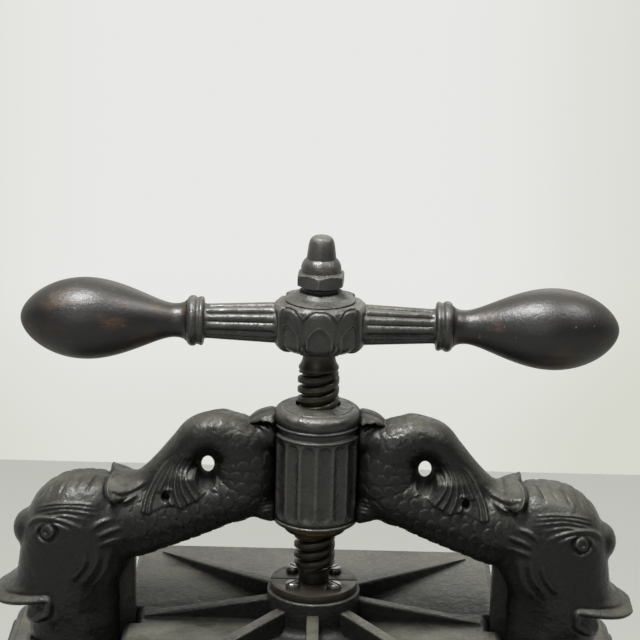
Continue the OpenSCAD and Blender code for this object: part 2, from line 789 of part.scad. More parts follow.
// Leaf with a raised rim and a lower middle rib
module hub_leaf(angle) {
    difference() {
        intersection() {
            hub_drum(leaf_rise);
            rotate(angle) leaf_body(0, 2 * cut);
        }
        rotate(angle) leaf_body(leaf_rim, cut);
    }
    intersection() {
        hub_drum(leaf_rise * 0.6);
        rotate(angle)
            translate([3 * cut, -leaf_rim / 2, hub_z + leaf_foot + cut])
                cube([hub_d, leaf_rim, hub_below + hub_above - 2 * leaf_foot - 2 * cut]);
    }
}

module hub_leaves() {
    for (i = [0 : leaves - 1])
        if (i % (leaves / 2) != 0) hub_leaf(i * 360 / leaves);
}

// Arm along +X with its collar and its bead
module arm() {
    collar = hub_d / 2 + 5;
    collar_r = arm_root_d / 2 + arm_collar;
    bead_start = bead_x - bead_w / 2;
    hollow_r = 1.9;
    slope = atan2((arm_root_d - arm_end_d) / 2, bead_start - collar);
    rotate([0, 90, 0])
        difference() {
            rotate_extrude()
                polygon(concat(
                    [[0, 0], [collar_r, 0], [collar_r, collar - arm_collar], [arm_root_d / 2, collar]],
                    arc([arm_end_d / 2, bead_x], (bead_d - arm_end_d) / 2, bead_w / 2, -90, 90, 12),
                    [[0, bead_end]]
                ));
            for (i = [0 : arm_reeds - 1])
                rotate((i + 0.5) * 360 / arm_reeds)
                    translate([arm_root_d / 2 - reed_depth + hollow_r, 0, collar + 1])
                        rotate([0, -slope, 0]) cylinder(r = hollow_r, h = bead_start - collar - 2, $fn = 24);
            translate([0, 0, bead_end - tang_in_arm])
                cylinder(d = tang_d + 2 * seat_clear, h = tang_in_arm + cut);
        }
}

module handle_bar() {
    hole = square_w + 2 * run_clear;
    color(black_iron)
    difference() {
        union() {
            hub_drum(0);
            hub_leaves();
            translate([0, 0, handle_z]) both_ends() arm();
        }
        translate([-hole / 2, -hole / 2, hub_z - cut]) cube([hole, hole, hub_top - hub_z + 2 * cut]);
    }
}

// Tang of the right-hand grip
module tang() {
    translate([bead_end - tang_in_arm, 0, handle_z])
        rotate([0, 90, 0]) cylinder(d = tang_d, h = tang_in_arm + tang_in_grip);
}

// Turned bulb of the right-hand grip
module grip() {
    neck_r = grip_neck_d / 2;
    full_r = grip_d / 2;
    rise = grip_swell - grip_neck_x;
    fall = grip_len - grip_swell;
    profile = concat(
        cubic([grip_flare_d / 2, 0], [grip_flare_d / 2 - 1.6, 1], [neck_r, grip_neck_x * 0.5],
            [neck_r, grip_neck_x], 5),
        cubic([neck_r, grip_neck_x], [neck_r, grip_neck_x + 0.2 * rise], [full_r, grip_swell - 0.42 * rise],
            [full_r, grip_swell], 10),
        cubic([full_r, grip_swell], [full_r, grip_swell + 0.6 * fall], [0.4 * full_r, grip_len],
            [0, grip_len], 12)
    );
    translate([bead_end, 0, handle_z])
        rotate([0, 90, 0])
            difference() {
                rotate_extrude() polygon(concat([[0, 0]], profile));
                translate([0, 0, -cut]) cylinder(d = tang_d + 2 * seat_clear, h = tang_in_grip + cut);
            }
}

module grip_tang_right() {
    color(worn_iron) tang();
}

module grip_tang_left() {
    color(worn_iron) mirror([1, 0, 0]) tang();
}

module grip_right() {
    color(ebonised_wood) grip();
}

module grip_left() {
    color(ebonised_wood) mirror([1, 0, 0]) grip();
}

module handle_washer() {
    slope_w = (washer_d - washer_top_d) / 2;
    color(black_iron)
    difference() {
        translate([0, 0, hub_top])
            rotate_extrude()
                polygon(concat(
                    [[0, 0], [washer_d / 2, 0]],
                    arc([washer_d / 2, washer_t], slope_w, washer_t - washer_edge, 270, 180, 8),
                    [[0, washer_t]]
                ));
        translate([0, 0, hub_top - cut]) cylinder(d = stud_d + 2 * run_clear, h = washer_t + 2 * cut);
    }
}

module acorn_nut() {
    point_r = acorn_flats / 2 / cos(30);
    foot_r = acorn_flats / 2 - 2.6;
    neck_r = acorn_flats / 2 - 1.3;
    waist_r = waist_d / 2;
    hex_top = acorn_foot + hex_h;
    bevel = 1.6;
    neck_z = hex_top + 1.2;
    roll_top = hex_top + 8;
    tip_h = 10;
    color(black_iron)
    translate([0, 0, washer_top])
        difference() {
            union() {
                intersection() {
                    rotate(acorn_turn) cylinder(r = point_r, h = hex_top, $fn = 6);
                    rotate_extrude()
                        polygon([
                            [0, 0], [foot_r, 0], [foot_r, acorn_foot], [point_r, acorn_foot + 2 * bevel],
                            [point_r, hex_top - bevel], [point_r - bevel, hex_top], [0, hex_top]
                        ]);
                }
                rotate_extrude()
                    polygon(concat(
                        [[0, hex_top - cut], [neck_r, hex_top - cut]],
                        cubic([neck_r, neck_z], [neck_r + 1, neck_z + 3.6], [neck_r, neck_z + 5],
                            [waist_r + 0.7, roll_top], 6),
                        [[waist_r, roll_top + 0.8]],
                        arc([0, acorn_h - tip_h], waist_r - 0.8, tip_h, 0, 90, 8)
                    ));
            }
            translate([0, 0, -cut]) cylinder(d = stud_d + 2 * seat_clear, h = stud_grip + 1 + cut);
        }
}

base_plate();
base_feet();
dolphin_arch();
arch_bolts();
arch_bolt_washers();
screw_nut();
nut_lock_screw();
platen();
thrust_disc();
keeper_front();
keeper_back();
keeper_screws();
press_screw();
handle_bar();
grip_tang_left();
grip_tang_right();
grip_left();
grip_right();
handle_washer();
acorn_nut();
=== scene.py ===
"""Copying press in black-painted cast iron: shapes and finishes round its solids, in a plain studio."""
import math

import bmesh
import bpy
import numpy as np
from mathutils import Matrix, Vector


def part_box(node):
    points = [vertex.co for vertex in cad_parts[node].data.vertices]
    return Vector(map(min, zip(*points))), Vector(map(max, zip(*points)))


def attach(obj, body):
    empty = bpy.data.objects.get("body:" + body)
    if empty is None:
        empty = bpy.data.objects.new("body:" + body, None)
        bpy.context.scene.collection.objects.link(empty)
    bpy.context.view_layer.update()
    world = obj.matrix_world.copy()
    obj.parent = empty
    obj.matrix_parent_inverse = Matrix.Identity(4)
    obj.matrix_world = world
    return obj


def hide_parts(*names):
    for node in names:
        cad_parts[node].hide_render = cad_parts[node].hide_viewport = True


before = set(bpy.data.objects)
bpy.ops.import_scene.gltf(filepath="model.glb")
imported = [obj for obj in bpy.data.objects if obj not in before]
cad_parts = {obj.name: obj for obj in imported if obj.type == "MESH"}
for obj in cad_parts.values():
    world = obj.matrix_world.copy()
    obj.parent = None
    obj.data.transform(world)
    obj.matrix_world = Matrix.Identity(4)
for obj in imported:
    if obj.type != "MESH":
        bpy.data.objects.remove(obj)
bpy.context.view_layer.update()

import openvdb
from bpy.props import FloatProperty, FloatVectorProperty, IntProperty, PointerProperty
from mathutils import Matrix, Vector

bl_info = {
    "name": "Copying press",
    "version": (1, 0, 0),
    "blender": (4, 5, 0),
    "location": "View3D > Sidebar > Press",
    "description": "Builds a cast-iron copying press with dolphin legs round its solids",
    "category": "Object",
}

MM = 0.001


def span(node):
    """Lowest and highest corner of a solid, in millimetres."""
    return tuple(np.array(corner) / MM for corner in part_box(node))


# Corners of the solids, and the few sizes that their boxes don't give, in millimetres
ARCH_LOW = span("dolphin_arch")[0]
HUB_LOW, HUB_HIGH = span("handle_bar")
SCREW_LOW, SCREW_HIGH = span("press_screw")
WASHER_LOW, WASHER_HIGH = span("handle_washer")
ACORN_LOW, ACORN_HIGH = span("acorn_nut")
GRIP_LOW, GRIP_HIGH = span("grip_right")
BED_LOW, BED_HIGH = span("base_plate")
PLATEN_LOW, PLATEN_HIGH = span("platen")
FLANGE = 5.0
BOSS_R = 26.5
BOSS_Z = span("screw_nut")[0][2] + FLANGE
HUB_BELOW = 16.0
ARM_Z = HUB_LOW[2] + HUB_BELOW


def linear(text):
    """Linear colour of an sRGB hex value."""
    parts = [int(text[i:i + 2], 16) / 255 for i in (1, 3, 5)]
    return tuple(p / 12.92 if p <= 0.04045 else ((p + 0.055) / 1.055) ** 2.4 for p in parts)


class PressSizes(bpy.types.PropertyGroup):
    """Sizes of the carving and of the small forms."""

    grid: FloatProperty(
        name="Sculpting grid", description="Spacing of the grid that the dolphins are sculpted on",
        default=0.0006, unit="LENGTH")
    scale_pitch: FloatProperty(
        name="Scale pitch", description="Distance between two rows of scales", default=0.0068, unit="LENGTH")
    scales_around: IntProperty(
        name="Scales around", description="Scales in one row round a dolphin's body", default=14)
    scale_relief: FloatProperty(
        name="Scale relief", description="Height of a scale's free edge", default=0.0008, unit="LENGTH")
    flutes: IntProperty(name="Flutes", description="Flutes round the boss", default=16)
    flute_width: FloatProperty(
        name="Flute width", description="Width of one flute", default=0.0088, unit="LENGTH")
    flute_depth: FloatProperty(
        name="Flute depth", description="Depth of one flute", default=0.0016, unit="LENGTH")
    reeds: IntProperty(name="Reeds", description="Reeds round each arm of the handle", default=12)
    reed_depth: FloatProperty(
        name="Reed depth", description="Depth of the hollows between the reeds",
        default=0.0014, unit="LENGTH")
    thread_pitch: FloatProperty(
        name="Thread pitch", description="Distance between two crests of the screw",
        default=0.00635, unit="LENGTH")
    thread_starts: IntProperty(name="Thread starts", description="Threads that run side by side", default=2)


class PressColours(bpy.types.PropertyGroup):
    """Colours of the finishes."""

    paint: FloatVectorProperty(
        name="Black paint", description="Paint on the castings", subtype="COLOR", default=linear("#171716"))
    dust: FloatVectorProperty(
        name="Dust", description="Film of dust and old wax on faces that look up", subtype="COLOR",
        default=linear("#5d5c50"))
    bare_iron: FloatVectorProperty(
        name="Bare iron", description="Iron where the paint is rubbed off", subtype="COLOR",
        default=linear("#69665e"))
    steel: FloatVectorProperty(
        name="Oiled steel", description="Steel of the screw and bolts", subtype="COLOR",
        default=linear("#59544b"))
    bright: FloatVectorProperty(
        name="Turned steel", description="Steel that was turned bright", subtype="COLOR",
        default=linear("#9a9a98"))
    bronze: FloatVectorProperty(
        name="Gunmetal", description="Bronze of the nut", subtype="COLOR", default=linear("#59462a"))
    stain: FloatVectorProperty(
        name="Black stain", description="Stain on the turned grips", subtype="COLOR",
        default=linear("#141312"))
    wood: FloatVectorProperty(
        name="Worn wood", description="Wood where hands have rubbed the stain thin", subtype="COLOR",
        default=linear("#4a3520"))
    wall: FloatVectorProperty(
        name="Wall", description="Wall behind the press", subtype="COLOR", default=linear("#e8e8e6"))
    table: FloatVectorProperty(
        name="Table", description="Table that the press stands on", subtype="COLOR",
        default=linear("#94958f"))


def sizes():
    """Sizes that the panel shows."""
    return bpy.context.scene.press_sizes


def colours():
    """Colours that the panel shows."""
    return bpy.context.scene.press_colours


# Curves and outlines

def curve(points, steps):
    """Smooth curve through points, which may hold sizes beside the coordinates."""
    p = np.asarray(points, float)
    ext = np.vstack([2 * p[:1] - p[1:2], p, 2 * p[-1:] - p[-2:-1]])
    t = np.linspace(0, 1, steps, endpoint=False)[:, None]
    out = []
    for i in range(len(p) - 1):
        a, b, c, d = ext[i:i + 4]
        out.append(0.5 * (2 * b + (c - a) * t + (2 * a - 5 * b + 4 * c - d) * t ** 2
                          + (3 * b - a - 3 * c + d) * t ** 3))
    return np.vstack(out + [p[-1:]])


def handled(a, b, c, d, steps):
    """Cubic curve with ends a and d and handles b and c."""
    t = np.linspace(0, 1, steps + 1)[:, None]
    a, b, c, d = (np.asarray(p, float) for p in (a, b, c, d))
    return (1 - t) ** 3 * a + 3 * (1 - t) ** 2 * t * b + 3 * (1 - t) * t ** 2 * c + t ** 3 * d


def arc(middle, reach, start, end, count):
    """Points of a round stretch about a middle, from one angle to another in degrees."""
    a = np.radians(np.linspace(start, end, count))
    return list(zip(middle[0] + reach[0] * np.cos(a), middle[1] + reach[1] * np.sin(a)))


def eased(points, radius, steps=4, closed=False):
    """Outline with its corners rounded, each by at most the radius."""
    p = np.asarray(points, float)
    n = len(p)
    out = []
    for i in range(n):
        if not closed and i in (0, n - 1):
            out.append(p[i:i + 1])
            continue
        before, here, after = p[i - 1], p[i], p[(i + 1) % n]
        into, away = before - here, after - here
        reach_in, reach_out = np.linalg.norm(into), np.linalg.norm(away)
        cut = min(radius, 0.45 * reach_in, 0.45 * reach_out)
        a, b = here + into / reach_in * cut, here + away / reach_out * cut
        t = np.linspace(0, 1, steps + 1)[:, None]
        out.append((1 - t) ** 2 * a + 2 * (1 - t) * t * here + t ** 2 * b)
    return np.vstack(out)


def filled(points, spacing):
    """Outline with points added so that none are further apart than the spacing."""
    p = np.asarray(points, float)
    out = [p[:1]]
    for a, b in zip(p[:-1], p[1:]):
        n = max(1, math.ceil(np.linalg.norm(b - a) / spacing))
        out.append(a + (b - a) * np.linspace(0, 1, n + 1)[1:, None])
    return np.vstack(out)


def ease(low, high, x):
    """Smooth step from 0 at low to 1 at high."""
    t = np.clip((x - low) / (high - low), 0, 1)
    return t * t * (3 - 2 * t)


# Meshes

def shell(rings, bored=False):
    """Points and faces of a skin through closed rings, capped, or with its ends joined for a bored shape."""
    rings = np.asarray(rings, float)
    n, m = rings.shape[:2]
    i, k = np.meshgrid(np.arange(n if bored else n - 1), np.arange(m), indexing="ij")
    a, b, ahead = i * m + k, i * m + (k + 1) % m, (i + 1) % n * m
    quads = np.stack([a, b, ahead + (k + 1) % m, ahead + k], -1).reshape(-1, 4).tolist()
    ends = [] if bored else [list(range(m - 1, -1, -1)), list(range((n - 1) * m, n * m))]
    return rings.reshape(-1, 3), quads + ends


def turned(outline, angles, relief=0.0):
    """Rings of a shape turned about Z from (radius, height) points, with relief added along its normals."""
    p = np.asarray(outline, float)
    along = np.gradient(p, axis=0)
    along /= np.maximum(np.linalg.norm(along, axis=1, keepdims=True), 1e-9)
    r = p[:, :1] + along[:, 1:] * relief
    z = p[:, 1:] - along[:, :1] * relief + 0 * r
    a = np.asarray(angles)[None, :] + 0 * z
    r = r + 0 * a
    return np.stack([r * np.cos(a), r * np.sin(a), z + 0 * a], -1)


def circle(sides):
    """Angles of a ring's points."""
    return np.arange(sides) * 2 * math.pi / sides


def plate(corners, section, radius, steps=4):
    """Rings of a flat piece: its corners drawn in by each (inset, height) of the section, then rounded."""
    p = np.asarray(corners, float)
    before, after = p - np.roll(p, 1, 0), np.roll(p, -1, 0) - p
    normals = []
    for edge in (before, after):
        edge = edge / np.linalg.norm(edge, axis=1, keepdims=True)
        normals.append(np.stack([edge[:, 1], -edge[:, 0]], 1))
    mitre = normals[0] + normals[1]
    mitre /= (mitre * normals[0]).sum(1, keepdims=True)
    rings = []
    for inset, z in section:
        ring = eased(p - mitre * inset, radius, steps, True)
        rings.append(np.column_stack([ring, np.full(len(ring), z)]))
    return np.stack(rings)


def joined(*shapes):
    """Several (points, faces) as one."""
    points, faces, base = [], [], 0
    for p, f in shapes:
        points.append(np.asarray(p, float))
        faces += [[base + i for i in face] for face in f]
        base += len(p)
    return np.vstack(points), faces


def mirrored(shape):
    """The same shape on the other side of the screw."""
    points, faces = shape
    return np.asarray(points, float) * (-1, 1, 1), [list(face)[::-1] for face in faces]


def moved(shape, x=0.0, y=0.0, z=0.0):
    """The same shape in another place."""
    return np.asarray(shape[0], float) + np.array([x, y, z]), shape[1]


def on_arm(shape, start=0.0):
    """Shape that was turned about Z, laid along +X at the arms' height."""
    x, y, z = shape[0].T
    return np.stack([z + start, y, x + ARM_Z], 1), shape[1]


def piece(name, shape, material, body, replaced=(), sharp=50):
    """Mesh object from millimetres, with its finish, its body and the solids that it replaces."""
    points, faces = shape
    mesh = bpy.data.meshes.new(name)
    mesh.from_pydata((np.asarray(points) * MM).tolist(), [], faces)
    bm = bmesh.new()
    bm.from_mesh(mesh)
    bmesh.ops.remove_doubles(bm, verts=bm.verts, dist=1e-7)
    bmesh.ops.dissolve_degenerate(bm, edges=bm.edges, dist=1e-7)
    bmesh.ops.recalc_face_normals(bm, faces=bm.faces)
    bm.to_mesh(mesh)
    bm.free()
    mesh.validate()
    mesh.shade_smooth()
    mesh.set_sharp_from_angle(angle=math.radians(sharp))
    obj = bpy.data.objects.new(name, mesh)
    bpy.context.scene.collection.objects.link(obj)
    mesh.materials.append(material)
    if not len(mesh.polygons):
        raise RuntimeError(f"{name} has no faces")
    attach(obj, body)
    if replaced:
        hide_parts(*replaced)
    return obj


def thinned(obj, share):
    """Fewer triangles where the surface is flat."""
    modifier = obj.modifiers.new("thin", "DECIMATE")
    modifier.ratio = share
    mesh = bpy.data.meshes.new_from_object(obj.evaluated_get(bpy.context.evaluated_depsgraph_get()))
    obj.modifiers.clear()
    old, obj.data = obj.data, mesh
    bpy.data.meshes.remove(old)
    mesh.shade_smooth()


# Finishes

def add(tree, kind, inputs=(), output=0, **settings):
    """Adds a node with its settings and inputs, each a value or a socket to link, and gives one output."""
    made = tree.nodes.new("ShaderNode" + kind)
    for key, value in settings.items():
        setattr(made, key, value)
    for key, value in dict(inputs).items():
        if isinstance(value, bpy.types.NodeSocket):
            tree.links.new(value, made.inputs[key])
        else:
            made.inputs[key].default_value = value
    return made.outputs[output] if len(made.outputs) else made


def fresh(name):
    """New material with its empty node tree, or, where it is made already, the material without a tree."""
    material = bpy.data.materials.get(name)
    if material:
        return material, None
    material = bpy.data.materials.new(name)
    material.use_nodes = True
    material.node_tree.nodes.clear()
    return material, material.node_tree


def rgba(colour):
    """Colour with full opacity."""
    return tuple(colour) + (1.0,)


def per_mm(size):
    """Texture scale whose features are about that many millimetres across."""
    return 1 / (size * MM)


def painted_iron(name="black_painted_cast_iron", gloss=0.3, worn=1.0, recess=18, glare=0.3, thin=0.0):
    """Sand-cast iron under old black paint: satin lights broken by fine pits, a dusty olive film on faces
    that look up, brown-grey iron where edges are rubbed bare, which also serves as a painted edge highlight,
    and near-black painted shade in the recesses that ambient occlusion finds."""
    material, tree = fresh(name)
    if tree is None:
        return material
    c = colours()
    place = add(tree, "TexCoord", output="Object")
    bend = add(tree, "NewGeometry", output="Pointiness")
    lift = add(tree, "SeparateXYZ", {0: bend.node.outputs["Normal"]}, "Z")
    # Ambient occlusion finds the recesses that get painted shade
    shade = add(tree, "AmbientOcclusion", {"Distance": recess * MM}, "AO", samples=6)
    # Millimetres across, detail and roughness of each pattern
    cloud, fleck, pits, lumps = (
        add(tree, "TexNoise", {"Vector": place, "Scale": per_mm(size), "Detail": detail, "Roughness": grit})
        for size, detail, grit in ((22, 4, 0.6), (3.2, 3, 0.62), (2.2, 3, 0.62), (7, 2, 0.5)))
    # What is read, the stretch of it that counts, and what the stretch's two ends give
    clear, patchy, edge, through, sheen = (
        add(tree, "MapRange", dict(enumerate(row))) for row in (
            (shade, 0.35, 0.92, 0, 1), (cloud, 0.35, 0.65, 0.2, 0.8), (bend, 0.507, 0.575, 0, 0.5 * worn),
            (cloud, 0.3, 0.7, 0, thin), (fleck, 0.32, 0.68, gloss - 0.1, gloss + 0.14)))
    up = add(tree, "MapRange", {0: lift, 1: 0.25, 2: 1, 3: 0, 4: 0.75}, interpolation_type="SMOOTHSTEP")
    # The dust film is kept out of the recesses, so that the painted shade there stays dark
    thick = add(tree, "Math", {0: up, 1: clear}, operation="MULTIPLY")
    film = add(tree, "Math", {0: thick, 1: patchy}, operation="MULTIPLY")
    # Convex edges rubbed to bare iron, which also serves as a painted edge highlight
    rubbed = add(tree, "Math", {0: edge, 1: fleck}, operation="MULTIPLY")
    # Bare iron through thin paint in patches; on the handled castings this lightening also stands in for
    # their sheen, as painted light
    tone = rgba(c.paint)
    for share, over in ((through, c.bare_iron), (film, c.dust), (rubbed, c.bare_iron)):
        tone = add(tree, "Mix", {0: share, 6: tone, 7: rgba(over)}, 2, data_type="RGBA")
    # Painted shade: near-black laid into the recesses, standing in for the shadow there
    painted_shade_tone = add(tree, "Mix", {0: clear, 6: rgba(linear("#0b0b0a")), 7: tone}, 2, data_type="RGBA")
    matt = add(tree, "Math", {0: film, 1: 0.3, 2: sheen}, operation="MULTIPLY_ADD")
    caked = add(tree, "MapRange", {0: clear, 3: 0.35, 4: 0})
    dull = add(tree, "Math", {0: matt, 1: caked}, operation="ADD", use_clamp=True)
    pitted = add(tree, "Bump", {"Height": pits, "Strength": 0.5, "Distance": 0.6 * MM})
    rough = add(tree, "Bump", {"Height": lumps, "Normal": pitted, "Strength": 0.5, "Distance": 1.6 * MM})
    shader = add(tree, "BsdfPrincipled", {
        "Base Color": painted_shade_tone, "Roughness": dull, "Specular IOR Level": glare, "Normal": rough})
    add(tree, "OutputMaterial", {"Surface": shader})
    return material


def handled_iron(name, thin):
    """The same iron where hands and sleeves keep it cleaner: less painted shade in the recesses, a brighter
    gloss, more rubbing with brighter painted edge highlights, and bare iron in patches that also paints in a
    sheen.
    """
    return painted_iron(name, worn=2.4, recess=7, glare=0.6, thin=thin)


def oiled_steel(name="dark_oiled_steel"):
    """Machined steel gone dark with oil: soft metal lights, brown grime in the roots, rubbed crests."""
    material, tree = fresh(name)
    if tree is None:
        return material
    place = add(tree, "TexCoord", output="Object")
    bend = add(tree, "NewGeometry", output="Pointiness")
    cloud, pits = (
        add(tree, "TexNoise", {"Vector": place, "Scale": per_mm(size), "Detail": detail, "Roughness": grit})
        for size, detail, grit in ((9, 4, 0.65), (1.2, 2, 0.5)))
    grime = add(tree, "MapRange", {0: bend, 1: 0.52, 2: 0.44, 3: 0.15, 4: 1})
    sheen = add(tree, "MapRange", {0: cloud, 1: 0.3, 2: 0.7, 3: 0.34, 4: 0.52})
    tone = rgba(colours().steel)
    for share, over in ((grime, "#1d1813"), (cloud, "#2a2620")):
        tone = add(tree, "Mix", {0: share, 6: tone, 7: rgba(linear(over))}, 2, data_type="RGBA")
    fine = add(tree, "Bump", {"Height": pits, "Strength": 0.25, "Distance": 0.3 * MM})
    shader = add(tree, "BsdfPrincipled", {
        "Base Color": tone, "Metallic": 0.8, "Roughness": sheen, "Normal": fine})
    add(tree, "OutputMaterial", {"Surface": shader})
    return material


def turned_metal(name, colour, ring):
    """Metal straight off the lathe: fine rings round the axis, and thin stains."""
    material, tree = fresh(name)
    if tree is None:
        return material
    place = add(tree, "TexCoord", output="Object")
    cloud = add(tree, "TexNoise", {"Vector": place, "Scale": per_mm(6), "Detail": 4})
    # The rings' phase runs through 20 in each unit of the scale; they are drawn coarse enough to show
    waves = per_mm(ring) * 2 * math.pi / 20
    rings = add(tree, "TexWave", {"Vector": place, "Scale": waves, "Distortion": 1.5}, "Fac",
                wave_type="RINGS", rings_direction="Z")
    stained = rgba(0.45 * part for part in colour)
    tone = add(tree, "Mix", {0: cloud, 6: rgba(colour), 7: stained}, 2, data_type="RGBA")
    sheen = add(tree, "MapRange", {0: cloud, 1: 0.3, 2: 0.7, 3: 0.24, 4: 0.4})
    fine = add(tree, "Bump", {"Height": rings, "Strength": 0.12, "Distance": 0.2 * MM})
    shader = add(tree, "BsdfPrincipled", {
        "Base Color": tone, "Metallic": 1.0, "Roughness": sheen, "Normal": fine})
    add(tree, "OutputMaterial", {"Surface": shader})
    return material


def ebonised_wood(name="ebonised_turned_wood"):
    """Close-grained wood, turned, stained black and polished by hands: satin lights, grain along its length,
    small dents and pale chips, red-brown streaks where the stain is rubbed thin."""
    material, tree = fresh(name)
    if tree is None:
        return material
    c = colours()
    place = add(tree, "TexCoord", output="Object")
    lift = add(tree, "SeparateXYZ", {0: add(tree, "NewGeometry", output="Normal")}, "Z")
    # Grain runs along X, about twelve times longer than it is wide
    along = add(tree, "Mapping", {"Vector": place, "Scale": (0.08, 1.0, 1.0)})
    # Where each pattern lies, its millimetres across, detail, roughness and distortion
    grain, streak, patch, dents, chips = (
        add(tree, "TexNoise", {"Vector": where, "Scale": per_mm(size), "Detail": detail, "Roughness": grit,
                               "Distortion": wander})
        for where, size, detail, grit, wander in (
            (along, 1.6, 5, 0.65, 0.3), (along, 9, 3, 0.55, 0), (place, 26, 3, 0.5, 0),
            (place, 2.6, 4, 0.65, 0), (place, 3.4, 2, 0.5, 0)))
    fibre, dust, chipped, sheen = (
        add(tree, "MapRange", dict(enumerate(row))) for row in (
            (grain, 0.35, 0.65, 0.35, 1), (lift, 0.3, 1, 0, 0.2), (chips, 0.7, 0.75, 0, 0.5),
            (patch, 0.3, 0.7, 0.34, 0.46)))
    thin = add(tree, "Math", {0: streak, 1: patch}, operation="MULTIPLY")
    rubbed = add(tree, "MapRange", {0: thin, 1: 0.27, 2: 0.4, 3: 0, 4: 0.8}, interpolation_type="SMOOTHSTEP")
    worn = add(tree, "Math", {0: rubbed, 1: fibre}, operation="MULTIPLY")
    tone = rgba(c.stain)
    for share, over in ((worn, c.wood), (dust, linear("#4f4a3e")), (chipped, linear("#77705f"))):
        tone = add(tree, "Mix", {0: share, 6: tone, 7: rgba(over)}, 2, data_type="RGBA")
    fine = add(tree, "Bump", {"Height": grain, "Strength": 0.18, "Distance": 0.3 * MM})
    soft = add(tree, "Bump", {"Height": dents, "Normal": fine, "Strength": 0.42, "Distance": 0.6 * MM})
    shader = add(tree, "BsdfPrincipled", {
        "Base Color": tone, "Roughness": sheen, "Specular IOR Level": 0.52, "Normal": soft})
    add(tree, "OutputMaterial", {"Surface": shader})
    return material


# Dolphin, in millimetres: u runs out from the boss, y from the middle plane, w up from the boss's lower rim

# Body as u, w, half width, half depth: from the throat round under the hole and up beside the boss
CHEST = [
    (113, 0, 24, 27), (91.5, 0, 26, 26), (69.5, 4, 22, 23.5), (46, 11, 19.5, 21.5), (33, 16, 18.5, 20.5),
    (20.5, 22, 19.5, 19.5), (17.8, 38, 20, 18.5), (21.5, 50, 17.2, 17.5), (32, 56.8, 13.4, 16)]
# The same over the top and down to the flared end on the nape
TAIL = CHEST[-2:] + [
    (45, 55, 12, 14.5), (54.5, 46.5, 10.2, 13), (65.5, 34.5, 9.3, 12), (78.5, 24.6, 7.1, 13),
    (87, 21.2, 6.6, 20), (93, 21.2, 8.1, 24), (98.5, 20.8, 9.2, 27)]
# Head as w, u, half width, half depth: from the lower jaw up to the crown
HEAD = [
    (-79, 123, 29, 31), (-70, 122.5, 28.5, 30.5), (-62, 124, 30, 30.5), (-55, 132, 38, 31),
    (-51, 133, 39.5, 31), (-46, 131, 37, 31), (-38, 126.5, 33, 30.5), (-22, 121.5, 35, 30.5),
    (-5, 119.5, 34.5, 29.5), (9.3, 117.5, 31, 26), (17.6, 116, 26, 22), (24.2, 114, 19, 16),
    (27.6, 113, 11, 9), (28.5, 112.5, 5, 4)]
# Outlines and lines as u and w, or as u and the height that the front view shows
MOUTH = [(138, -47), (182, -55), (182, -67), (156, -65), (138, -52)]
FIN = [(62, 39), (66.5, 35), (71.5, 28), (76, 19), (79, 10), (80, 3), (77.2, 1.9), (74.6, 2), (70.5, 4.3),
       (66.7, 6.4), (61.7, 7.8), (55.3, 5.9), (50.9, 8.7), (45.9, 11.1), (43.3, 13.8), (41.4, 16.7),
       (38.4, 19.2), (35.2, 18.4), (33.9, 17.6), (37.2, 21.5), (40.2, 27), (43, 31.6), (45, 33.5),
       (47.5, 38), (50, 41), (56, 41)]
RIBS = [
    [(63.7, 36.9), (68.7, 30.7), (73.7, 21.1), (76.9, 12.3), (78.4, 3.1)],
    [(61.2, 37.6), (66.2, 30.8), (70.6, 21.2), (73.7, 12.4), (75, 2.5)],
    [(59.3, 38.3), (63.7, 30.2), (67.1, 22), (69.3, 17.2)],
    [(56.8, 39.1), (61.2, 30.9), (63.6, 21.4), (63.6, 13.3), (61.1, 7.9)],
    [(53.7, 39.8), (58.3, 31), (59.7, 21.5), (58.5, 13.4), (55.7, 6.7)],
    [(51.1, 39.9), (55.5, 31.7), (56.1, 23.6), (54.1, 16.2), (50.6, 9.6)],
    [(48.6, 38.6), (52.4, 31.8), (52.9, 24.4), (50, 17.7), (46.2, 12.4)],
    [(47.3, 34.6), (49.2, 29.2), (48.5, 23.8), (45.3, 19.2), (41.8, 16.9)],
    [(45.4, 30.3), (45.4, 26.6), (43.5, 22.3), (38.7, 19.2)], [(42.6, 30.4), (40.8, 25), (34.9, 18.4)]]
NECKS = [[(20, 50, 15, 15), (8, 56, 9, 12), (-4, 58, 9, 12)],
         [(21, 16, 14, 15), (12, 13, 9.5, 13), (4, 10, 9, 13), (-5, 8, 9, 13)]]
LIDS = [[(151, -8.7), (146.3, -3.7), (139.9, -2.2), (132.3, -2.9), (124.7, -4.8), (114.5, -9.5)],
        [(146.5, -14), (141.3, -7.6), (136.2, -6.2), (129.8, -7.2), (122, -11)]]
LEAF = [(-6, 63), (1.3, 62.8), (3.8, 64.3), (6.3, 63.6), (8.4, 64.6), (10, 63.6), (13.8, 62.7), (18, 62.5),
        (18, 79), (-6, 79)]
BELL_RIM = [(95.6, 31.6), (98.4, 28), (100.2, 23.5), (100.4, 18.3), (99.2, 13.4), (96.4, 9.8), (92.8, 8.8),
            (88.2, 10.8), (82.8, 15.2)]
BROWS = [[(143, 5), (133.5, 7.1), (124.6, 7.6), (117, 7.7), (108, 6.8)],
         [(143, 2.6), (131, 4.9), (120.9, 5.4), (107.5, 4)],
         [(142, -0.4), (128.5, 2.6), (119.6, 2.3), (106.5, 0.6)], [(137.5, -1.9), (126, -0.6), (113.5, -3)]]
GILLS = [[(111, -10), (104.1, -4.4), (97.4, -2)], [(107, -14.3), (99.4, -10.4), (90.4, -6.9)],
         [(106, -20), (98, -16.5), (90, -14)], [(93.6, 7.8), (87.3, 10), (81.5, 15)]]
CHEEKS = [[(109, -49), (101, -36), (98.5, -22)], [(116, -46), (107.5, -34), (105.5, -22)],
          [(123, -44), (115, -34), (113, -24)]]
EYE = (136.5, -11.5)
HOLE = (40.4, 36.0)
